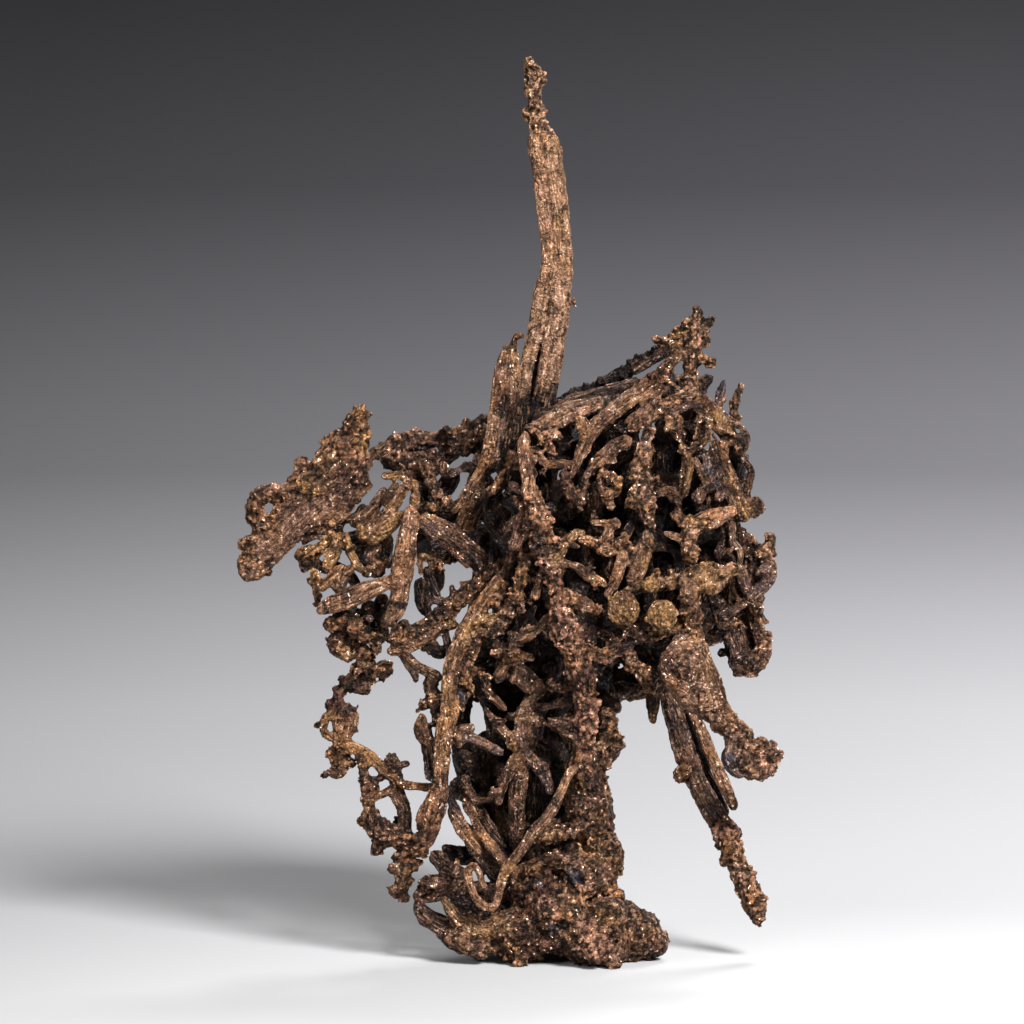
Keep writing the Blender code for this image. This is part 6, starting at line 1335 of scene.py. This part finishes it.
base = {
    "wireLook": "grain brown",
    "wires": [
        ((7.4, 8, 7), "7.2 20.6 2, 7.4 18.6 2.6, 7.8 16.4 3.2, 7.8 14 3.8"),
        ((6.4, 6.8, 7), "-9.1 5 1.3, -8.6 4 2, -7.6 3.2 2.2, -6.4 2.4 2.4, -5.2 1.4 2.6, "
            "-3.8 1 2.6", "blade dark"),
        (7.8, "-6.6 5.5 0.9, -6 4.4 1.2, -5.2 3.2 1.5, -3.6 2.4 1.7, -2 2.4 1.6, "
            "-0.8 3 1.4", "smooth olive"),
        ((5.6, 5, 4.4), "-8.8 6.6 1.3, -7.6 7 1.7, -6.4 6.8 2.1, -5 6.4 2.2, -3 6 2.2, 0 5.4 2.4"),
        ((5, 4), "-7.5 9.9 1.6, -6.7 8.9 2, -5.8 8.1 2.1, -4.6 7.2 2", "blade dark"),
        ((6, 4, 1), "-5.6 5 1.6, -4.2 4.4 2.6, -2.4 4.4 3, -0.6 4 3", "smooth black"),
        (5.6, "-9.4 6.1 0.8, -9.2 5.4 0.8, -8 5.3 0.8, -6.8 6 0.9", "smooth brown"),
        (6.6, "-5.3 9.4 0.7, -5.4 8 0.8", "smooth brown"),
        ((6.4, 6, 4.6), "-5.8 14.2 1.3, -4.5 12.3 1.7, -3 10.3 1.6, -1.7 8.7 1.3, "
            "0.4 7 1.5", "blade brown"),
        ((6.8, 6.6), "-4.6 15.5 0.8, -3.5 13.3 1.1, -2.2 11.2 1.2, -1 9.7 1.1, 0.6 8 1.2", "blade rust"),
        ((5, 3), "-4.6 17.6 0.9, -3.4 15 1.2, -1.6 12 1.4, 1 8.6 1.7", "blade dark"),
        ((4.4, 3), "-6.2 16.4 1, -5.2 13.6 1.3, -3.6 10.4 1.5, -1 7.4 1.8", "blade black"),
        ((8, 8.4), "-5.9 1.9 1.2, -4.8 1.3 1.8, -3.8 0.7 1.8, -2.6 0.4 1.5"),
        ((6, 5), "9.5 24.4 1.2, 10.1 23.4 1.3, 9.6 21.6 1.5, 8.8 20 1.6, 8.4 18 2"),
        (5.4, "10.7 22 0.9, 10.8 20.8 1, 10 19.6 1.1, 9 18.4 1.4"),
        ((8.4, 8), "3.2 11.4 1.2, 4.6 12 1.4, 6 12.2 1.6, 7.4 12.8 1.8"),
        (8.6, "2 8.4 1.4, 3.4 9.4 1.4, 5.2 9.4 1.6, 6.6 9 1.8"),
    ],
    "lumpLook": "grain brown",
    "lumps": [
        ((5.2, 4.8, 2.4), (6.4, 4.6, 6)), ((6.2, 9.6, 3.2), (4.9, 4.4, 4.6)),
        ((7.8, 15, 4.4), (2.4, 4.8, 3.2)), ((5.2, 1.9, 7), (2.6, 2.2, 3)), ((1, 1.9, 6.2), (3.5, 3, 3.8)),
        ((8.4, 1.6, 7.4), (3.6, 3.2, 4.2)), ((12, 1.7, 5.4), (3.4, 2.5, 3)),
        ((11.4, 3.2, 5.4), (2.2, 2, 2.6)), ((14, 1, 5), (1.9, 1.7, 2.2)),
        ((-3.4, 1.7, 5.8), (2.8, 2.1, 2.6)), ((2.4, 6.6, 6.2), (2.9, 2.7, 2.6), "grain rust"),
        ((9.6, 9.4, 5), (1.6, 2.6, 2.4), "grain olive"), ((4.4, 4.2, 7.6), (3.6, 3, 2.8)),
        ((7.4, 7.8, 6.8), (2.9, 2.8, 2.4)), ((7.9, 13.4, 6.4), (2, 2.4, 2)),
        ((7.2, 17, 6.8), (1.7, 2.4, 1.8), "grain gold"), ((9.8, 3.8, 8.6), (1.9, 2, 2)),
        ((4.8, 11.6, 6), (2.6, 2, 2), "grain dark"), ((4, 3.6, -7), (3.9, 3.4, 4.1)),
    ],
    "knobLook": "grain brown",
    "knobs": [
        (8.3, 11.2, 8.2, 1.5, "grain gold"), (9.2, 2.3, 10.6, 1.4, "grain pink"),
        (8.5, -0.2, 11, 1.6, "grain pink"), (2.3, 8, 8, 1.5, "grain gold"),
        (3.8, 8.2, 8.2, 1.2, "grain pink"), (10.6, 5.8, 6.4, 1.8), (-1.2, 0.6, 8, 1.6),
        (3.2, 0.8, 8.6, 1.8), (6.2, 3.2, 9.6, 1.5), (-9.1, 6, 5.6, 1.2),
        (15.2, 0.6, 4.8, 1.2, "grain dark"), (13.4, 3, 5, 1.6, "grain dark"),
        (9.8, 12.7, 5.6, 1.5, "grain pink"), (9.7, 14, 5.4, 1.3, "grain dark"), (9.3, 17.2, 5.6, 1.3),
        (10.7, 9.7, 4, 1, "smooth dark"), (1.1, -0.6, 9, 1.7), (10.2, -0.8, 10, 1.7), (-8.2, 6.7, 6, 1.3),
    ],
    # the black patches are painted shade in the hollows, the pink ones at 8.2, 7.6 and 7.4, 10.3 painted
    # glints
    "patches": [((9.8, 11.2, 6.6), 1.2, "olive"), ((9.8, 3.5, 10.4), 1.2, "gold"),
        ((5.8, 11.2, 8), 0.6, "black"), ((4.9, 6.5, 9.6), 0.5, "black"), ((5.4, 3, 10), 0.6, "black"),
        ((2.7, 7, 8.6), 0.6, "blue"), ((4.3, 2.5, 10), 0.6, "blue"), ((6.4, 7.8, 9), 0.9, "blue"),
        ((7.4, 14.6, 8.2), 1, "tan"), ((8.9, 15, 7.4), 0.6, "black"), ((1, 5.6, 8.6), 0.5, "black"),
        ((8.2, 7.6, 9.2), 0.6, "pink"), ((7.4, 10.3, 8.4), 0.6, "pink"), ((2.2, 1.6, 9.8), 1.2, "rust"),
        ((7.8, 5.4, 9.6), 1.2, "tan"), ((5, 14.6, 7.6), 1, "blue")],
    "crust": {"Lump Size": 2, "Lump Height": 0.8, "Grain Size": 0.5, "Grain Height": 0.27},
    "voxel": 0.17,
}

rearProp = {
    "wireLook": "ribbed brown",
    "wires": [
        ((-5, -8, -9, -9), "4.6 24 2.6, 4.4 18 2.9, 4 12 3, 3.8 6 3.2"),
        ((-6, -9, -8), "9 24 1.9, 8.2 17 2.3, 6.6 10 2.5, 5.4 5 2.3", "ribbed dark"),
        ((-5, -7, -8), "0.6 22 1.9, 0.6 15 2.1, 2 9 2.3, 3 5 2.1"),
        ((-9, -10.4), "5.2 21 0.9, 5.6 17 1.1, 5.2 13 1.1, 5 8 1", "smooth tan"),
        ((-8, -8.6), "0.2 17.6 0.8, 2.2 15.4 1, 4.2 14.2 1", "smooth rust"),
        ((-8.6, -9), "8.6 19.4 0.9, 6.8 16.8 1, 4.8 16.2 1", "smooth brown"),
    ],
    "knobLook": "grain brown",
    "knobs": [
        (4.6, 12, -10.4, 1.5), (7.4, 13.4, -9.6, 1.4),
    ],
    "voxel": 0.22,
    "sprigs": 0.2,
}

rearFan = {
    "wireLook": "ribbed brown",
    "wires": [
        ((-6, -8, -10, -9, -6), "3 20 2, 1.2 24 2.4, -0.9 29 2.3, -3.2 34 2.2, -2.6 38.5 2.5, -3.9 43 2, "
            "-3.2 48 1.9, -2 53 1.2"),
        ((-7, -11, -13, -10, -6), "5 19 2.6, 5.6 24 2.8, 4.8 29.5 3, 3.9 35.5 2.6, 4.4 40 2.8, "
            "3.6 45.5 2.4, 4.6 51 1.9, 6.4 54.6 1.5"),
        ((-7, -11, -13, -13, -6), "6.6 22 2.4, 9.5 28 2.6, 12.3 34.5 2.8, 12.4 39 2.5, 13.9 43 2.6, "
            "12.9 48 2.1, 11.6 54.6 1.5", "ribbed dark"),
        ((-8, -9, -11, -8, -5), "8.6 24 2, 12.6 28 2.4, 17.4 34 2.5, 18.9 39 2.2, 20.9 43.5 2.2, "
            "22 51.4 1.2", "smooth brown"),
        ((-7, -9, -8, -5), "10.4 26 1.8, 14.6 26.8 2.2, 18.4 30.6 1.9, 21.4 32.6 2, "
            "22.4 36 1.5", "grain brown"),
        ((-8, -10, -13, -12, -8), "-3.8 43.8 1.6, 0.4 45.2 2.1, 6.4 46.3 2.2, 10 47.5 2, 14 45.5 2.3, "
            "20.8 43 1.5", "grain rust"),
        ((-9, -12, -14, -12, -8), "-3.4 34.6 1.5, 1 36.8 1.8, 6.6 38.8 2.1, 10.4 37.6 1.9, 14 38.6 2.1, "
            "18.8 36.2 1.5", "grain brown"),
        ((-5, -7, -6, -4), "-2 51.8 1.3, 2.6 52.8 1.6, 8 54.2 1.8, 12 55.2 1.6, "
            "17.4 57.4 1.1", "bead dark"),
        ((-7, -11, -14, -12), "19.6 50 1.5, 15 46.4 1.7, 9.6 42.2 1.9, 5.4 38.4 1.6", "smooth tan"),
        ((-7, -9, -12), "-2.8 47.6 1.5, 0.4 42.6 1.7, 4 35 1.6", "smooth brown"),
        ((-8, -12, -11, -9), "-0.4 26.4 1.5, 5 29 1.8, 11.2 31.2 1.9, 15.6 30 1.4", "smooth rust"),
        ((-11, -15, -17), "4.2 41.4 1.8, 6.8 43.6 1.5, 8.6 44 1", "grain gold"),
        ((-12, -15, -16), "12.4 35 1.8, 15 34.2 1.5, 16.4 32.6 1", "grain pink"),
        ((-10.5, -5), "5.2 26.4 2.4, 4.2 26 2.6", "smooth dark"),
        ((-12.5, -5), "12.6 40 2.2, 11.4 40.4 2.6", "smooth dark"),
    ],
    "voxel": 0.24,
    "sprigs": 0.35,
}

branches = [
    ("TallSpike", "tall_spike", tallSpike), ("ShortSpike", "short_spike", shortSpike),
    ("FrontStem", "front_stem", frontStem), ("LongWire", "long_wire", longWire),
    ("HookWire", "hook_wire", hookWire), ("Crown", "crown", crown),
    ("RightCage", "right_cage", rightCage), ("RightFinger", "right_finger", rightFinger),
    ("RightLeg", "right_leg", rightLeg), ("RightEdge", "right_edge", rightEdge),
    ("LeftArm", "left_arm", leftArm), ("LeftFan", "left_fan", leftFan),
    ("LeftChain", "left_chain", leftChain), ("Trunk", "trunk", trunk), ("Base", "base", base),
    ("RearProp", "rear_prop", rearProp), ("RearFan", "rear_fan", rearFan),
]
branches = [(name, node, spellOut(branch)) for name, node, branch in branches]
crowd = makeCrowd([branch for _, _, branch in branches])
reaches = makeReaches([branch for _, _, branch in branches])
pieces = {name: buildPiece(name, node, branch) for name, node, branch in branches}
for profile in profiles.values():
    bpy.data.objects.remove(profile)


tarnishAndLightColours = {
    "pink": (0.45, 0.215, 0.135, 1),
    "ochre": (0.25, 0.122, 0.045, 1),
    "gold": (0.36, 0.185, 0.065, 1),
    "orange": (0.38, 0.165, 0.062, 1),
    "umber": (0.06, 0.022, 0.013, 1),
    # painted shade inside the nugget, as well as dark tarnish
    "black": (0.005, 0.0025, 0.002, 1),
    "steel": (0.07, 0.068, 0.092, 1),
    # painted shade in the grooves
    "grooveShade": (0.02, 0.011, 0.010, 1),
    # painted highlight on the ridges
    "ridgeHighlight": (0.55, 0.3, 0.17, 1),
    # painted glint on the crystals
    "spark": (1.0, 0.74, 0.55, 1),
}


# Copper's tarnish and painted light, shared by every material: patches, tones, grooves and crevices with
# painted shade, painted highlights on the ridges and bright crystals with painted glints
def makeTarnishAndPaintedLight():
    inputs = {"Place": "Vector", "Fibre": "Vector", "Base": "Color", "Light": "Color", "Tone": "Color",
              "Pink": "Float", "Coarse": "Float", "Grain": "Float", "Mottle": "Float", "Bright": "Float"}
    outputs = {"Color": "Color", "Roughness": "Float", "Metallic": "Float", "Height": "Float"}
    group, come, go = newTree("tarnishAndPaintedLight", "ShaderNodeTree", inputs, outputs)
    times, plus = arithmetic(group)
    spread = partial(spreadNode, group)
    links = group.links

    def noise(scale, detail, low, high, bottom=0.0, top=1.0):
        return spread(noiseNode(group, come["Place"], scale, detail), low, high, bottom, top)

    def blend(amount, first, second, how="MIX"):
        node = group.nodes.new("ShaderNodeMix")
        node.data_type = "RGBA"
        node.blend_type = how
        for value, index in ((amount, 0), (first, 6), (second, 7)):
            joinInput(group, value, node.inputs[index])
        return node.outputs[2]

    tone = group.nodes.new("ShaderNodeSeparateColor")
    links.new(come["Tone"], tone.inputs[0])
    gold, dark, blue = tone.outputs[:3]
    stripes = noiseNode(group, come["Fibre"], 5.5, 4.0)
    crystal, crystalParts = crystalNodes(group, come["Place"], 5200.0)
    small, smallParts = crystalNodes(group, come["Place"], 9500.0)
    cracks = group.nodes.new("ShaderNodeTexVoronoi")
    cracks.feature = "DISTANCE_TO_EDGE"
    cracks.inputs["Scale"].default_value = 2600
    links.new(come["Place"], cracks.inputs["Vector"])

    # broad patches, then the tones of the wires, with painted shade in the grooves along them
    colour = blend(noise(1300, 3.0, 0.36, 0.64), come["Base"], come["Light"])
    drawn = spread(come["Coarse"], 0.25, 0.8, 1.0, 0.2)
    streaks = times(drawn, spread(come["Mottle"], 0.0, 1.0, 0.3, 1.0))
    for amount, paintName in (
        (times(come["Pink"], noise(700, 2.0, 0.3, 0.6, 0.4, 1.0)), "pink"),
        (noise(420, 3.0, 0.42, 0.66, 0.0, 0.6), "ochre"),
        (times(gold, noise(600, 2.0, 0.3, 0.6, 0.25, 0.85)), "gold"),
        (times(noise(310, 3.0, 0.5, 0.64, 0.0, 0.6), come["Mottle"]), "orange"),
        (times(noise(230, 3.0, 0.47, 0.62, 0.0, 0.85), come["Mottle"]), "umber"),
        # the dark tone: partly the copper's own dark tarnish, partly painted shade
        (times(dark, 0.96), "black"),
        (times(blue, noise(800, 2.0, 0.35, 0.65, 0.2, 0.85)), "steel"),
        # painted shade in the grooves along the wire
        (times(spread(stripes, 0.53, 0.63, 0.0, 0.66), streaks), "grooveShade"),
    ):
        colour = blend(amount, colour, tarnishAndLightColours[paintName])
    # painted highlights on the ridges between the grooves
    ridgeHighlight = times(spread(stripes, 0.44, 0.36, 0.0, 0.45), drawn)
    colour = blend(ridgeHighlight, colour, tarnishAndLightColours["ridgeHighlight"], "SCREEN")
    # veins and crevices darkened as painted shade, with painted shade in the pits and painted highlights on
    # the proud spots, then painted glints on the crystals that catch the light
    ridge = mathNode(group, "ABSOLUTE", plus(noiseNode(group, come["Place"], 420.0, 4.0), -0.5), 0.0)
    seams = spread(cracks.outputs["Distance"], 0.0, 0.08, 0.62, 1.0)
    veins = times(spread(ridge, 0.0, 0.026, 0.16, 1.0), seams)
    shade = times(spread(come["Grain"], 0.3, 0.95, 0.12, 1.5), veins)
    shadeColour = group.nodes.new("ShaderNodeCombineColor")
    for socket in shadeColour.inputs[:3]:
        links.new(shade, socket)
    colour = blend(1.0, colour, shadeColour.outputs[0], "MULTIPLY")
    # painted glints on some crystal cells, fewer on dark tones
    proud = spread(come["Grain"], 0.5, 0.8)
    spark = times(spread(crystalParts[1], 0.41, 0.44), times(proud, come["Bright"]))
    lit = times(spark, spread(dark, 0.2, 0.9, 1.0, 0.1))
    colour = blend(lit, colour, tarnishAndLightColours["spark"])
    dullness = spread(smallParts[2], -0.4, 0.4, 0.54, 0.27)
    relief = plus(times(crystal, 0.6), times(small, 0.3))
    relief = plus(relief, times(spread(cracks.outputs["Distance"], 0.0, 0.2), 0.25))
    links.new(colour, go["Color"])
    links.new(mathNode(group, "SUBTRACT", dullness, times(lit, 0.24)), go["Roughness"])
    links.new(plus(0.55, times(lit, 0.45)), go["Metallic"])
    links.new(plus(relief, times(times(stripes, drawn), -2.4)), go["Height"])
    return group


tarnishAndPaintedLight = makeTarnishAndPaintedLight()
looks = {
    "Base": (0.10, 0.042, 0.022, 1),
    "Light": (0.43, 0.235, 0.15, 1),
    "Mottle": 1.0,
    "Bright": 1.0,
}
bumpDistance = 0.00015  # m
# What differs on one piece
ownLooks = {
    "TallSpike": {"Base": (0.27, 0.145, 0.085, 1), "Light": (0.47, 0.28, 0.175, 1), "Mottle": 0.12,
                  "Bright": 0.5},
    "LongWire": {"Light": (0.31, 0.165, 0.105, 1)},
    "LeftChain": {"Light": (0.27, 0.142, 0.09, 1), "Bright": 0.7},
    "FrontStem": {"Light": (0.4, 0.215, 0.13, 1)},
    "LeftFan": {"Light": (0.39, 0.205, 0.125, 1)},
    "LeftArm": {"Light": (0.37, 0.195, 0.12, 1)},
    "Base": {"Light": (0.37, 0.2, 0.13, 1)},
    "RightEdge": {"Light": (0.5, 0.28, 0.18, 1), "Bright": 1.2},
    "RightFinger": {"Light": (0.4, 0.225, 0.145, 1)},
}


def copperMaterial(name, look):
    material = bpy.data.materials.new(name)
    material.use_nodes = True
    nodes, links = material.node_tree.nodes, material.node_tree.links
    shader = nodes["Principled BSDF"]
    shader.inputs["Specular IOR Level"].default_value = 0.22
    effect = nodes.new("ShaderNodeGroup")
    effect.node_tree = tarnishAndPaintedLight
    links.new(nodes.new("ShaderNodeTexCoord").outputs["Object"], effect.inputs["Place"])
    for attribute, result, socket in (
        ("fibre", "Vector", "Fibre"), ("tone", "Color", "Tone"), ("tone", "Alpha", "Pink"),
        ("coarse", "Fac", "Coarse"), ("grain", "Fac", "Grain"),
    ):
        stored = nodes.new("ShaderNodeAttribute")
        stored.attribute_name = attribute
        links.new(stored.outputs[result], effect.inputs[socket])
    for socket, value in look.items():
        effect.inputs[socket].default_value = value
    bump = nodes.new("ShaderNodeBump")
    bump.inputs["Distance"].default_value = bumpDistance
    links.new(effect.outputs["Height"], bump.inputs["Height"])
    links.new(bump.outputs["Normal"], shader.inputs["Normal"])
    for result, socket in (("Color", "Base Color"), ("Roughness", "Roughness"), ("Metallic", "Metallic")):
        links.new(effect.outputs[result], shader.inputs[socket])
    return material


for name, piece in pieces.items():
    piece.data.materials.clear()
    piece.data.materials.append(copperMaterial(name + "Copper", looks | ownLooks.get(name, {})))

studio = {
    "floorRadius": 2.5,
    # the floor's greys paint the light's falloff round the nugget
    "towardsBright": (0.0, 0.1, 0.0),  # from the brightest spot of the floor to the origin
    "greyReach": 0.8,  # how far from that spot the greys run, and the floor's grey at shares of it
    "greys": [(0.08, 0.308), (0.165, 0.236), (0.25, 0.219), (0.325, 0.206), (0.41, 0.168), (0.49, 0.125),
              (0.57, 0.089), (0.65, 0.083), (0.8, 0.066), (0.98, 0.0455)],
    # painted light: the floor is paler on the key light's side
    "sides": (-0.08, 0.08, 0.72, 1.24),  # from here to here across, the grey goes from less to more
    "cameraDistance": 1.2,
    "frameWidth": 0.1024,  # what the camera takes in at the nugget
    "middle": (0.2, 44.1),  # the sheet's u and v at the middle of the view
}


def sheetSpot(u, v, depth):
    angle = math.radians(sheet["viewAngle"])
    up = (v + depth * math.sin(angle)) / math.cos(angle)
    return Vector((u + sheet["across"], -depth - sheet["back"], up)) * sheet["metres"]


# A round sweep, pale where the nugget stands and graded to grey further off and to one side: a pool of
# painted light and its falloff
deselectAll()
bpy.ops.mesh.primitive_circle_add(vertices=96, radius=studio["floorRadius"], fill_type="TRIFAN")
sweep = bpy.context.object
sweep.name = "Sweep"
backdrop = bpy.data.materials.new("Backdrop")
backdrop.use_nodes = True
tree = backdrop.node_tree
nodes, links = tree.nodes, tree.links
place = nodes.new("ShaderNodeTexCoord").outputs["Object"]
length = nodes.new("ShaderNodeVectorMath")
length.operation = "LENGTH"
links.new(vectorNode(tree, "ADD", place, studio["towardsBright"]), length.inputs[0])
ramp = nodes.new("ShaderNodeValToRGB")
links.new(mathNode(tree, "MULTIPLY", length.outputs["Value"], 1 / studio["greyReach"]), ramp.inputs["Fac"])
for spot, grey in studio["greys"]:
    ramp.color_ramp.elements.new(spot).color = (grey, grey * (1 - 0.04 * spot), grey * (1 + 0.07 * spot), 1)
ramp.color_ramp.elements.remove(ramp.color_ramp.elements[0])
ramp.color_ramp.elements.remove(ramp.color_ramp.elements[-1])
sides = nodes.new("ShaderNodeSeparateXYZ")
links.new(place, sides.inputs[0])
across = spreadNode(tree, sides.outputs[0], *studio["sides"])
shader = nodes["Principled BSDF"].inputs
links.new(vectorNode(tree, "SCALE", ramp.outputs["Color"], across), shader["Base Color"])
shader["Roughness"].default_value = 0.9
shader["Specular IOR Level"].default_value = 0.1
sweep.data.materials.append(backdrop)

lights = {
    "Key": {"at": (0.42, -0.62, 0.62), "size": 0.34, "power": 36.0},
    "Fill": {"at": (-0.62, -0.5, 0.30), "size": 0.4, "power": 4.5},
    "Rim": {"at": (0.25, 0.5, 0.75), "size": 0.3, "power": 8.0},
}
for name, facts in lights.items():
    lamp = bpy.data.lights.new(name, "AREA")
    lamp.shape = "DISK"
    lamp.size = facts["size"]
    lamp.energy = facts["power"]
    holder = bpy.data.objects.new(name, lamp)
    bpy.context.scene.collection.objects.link(holder)
    holder.location = facts["at"]
    holder.rotation_euler = (Vector((0, 0, 0.04)) - holder.location).to_track_quat("-Z", "Y").to_euler()
    holder.visible_camera = False

world = bpy.data.worlds.new("Studio")
bpy.context.scene.world = world
world.use_nodes = True
sky = world.node_tree.nodes["Background"].inputs
sky["Color"].default_value = (0.9, 0.95, 1.0, 1)
sky["Strength"].default_value = 0.11

cameraData = bpy.data.cameras.new("Camera")
camera = bpy.data.objects.new("Camera", cameraData)
bpy.context.scene.collection.objects.link(camera)
target = sheetSpot(*studio["middle"], 0)
angle = math.radians(sheet["viewAngle"])
away = Vector((0, -math.cos(angle), math.sin(angle)))
camera.location = target + away * studio["cameraDistance"]
camera.rotation_euler = (-away).to_track_quat("-Z", "Y").to_euler()
cameraData.sensor_width = 36
cameraData.lens = 36 * studio["cameraDistance"] / studio["frameWidth"]
cameraData.clip_end = 20
bpy.context.scene.camera = camera
bpy.context.scene.view_settings.view_transform = "Standard"

print("faces in all", sum(len(piece.data.polygons) for piece in pieces.values()))
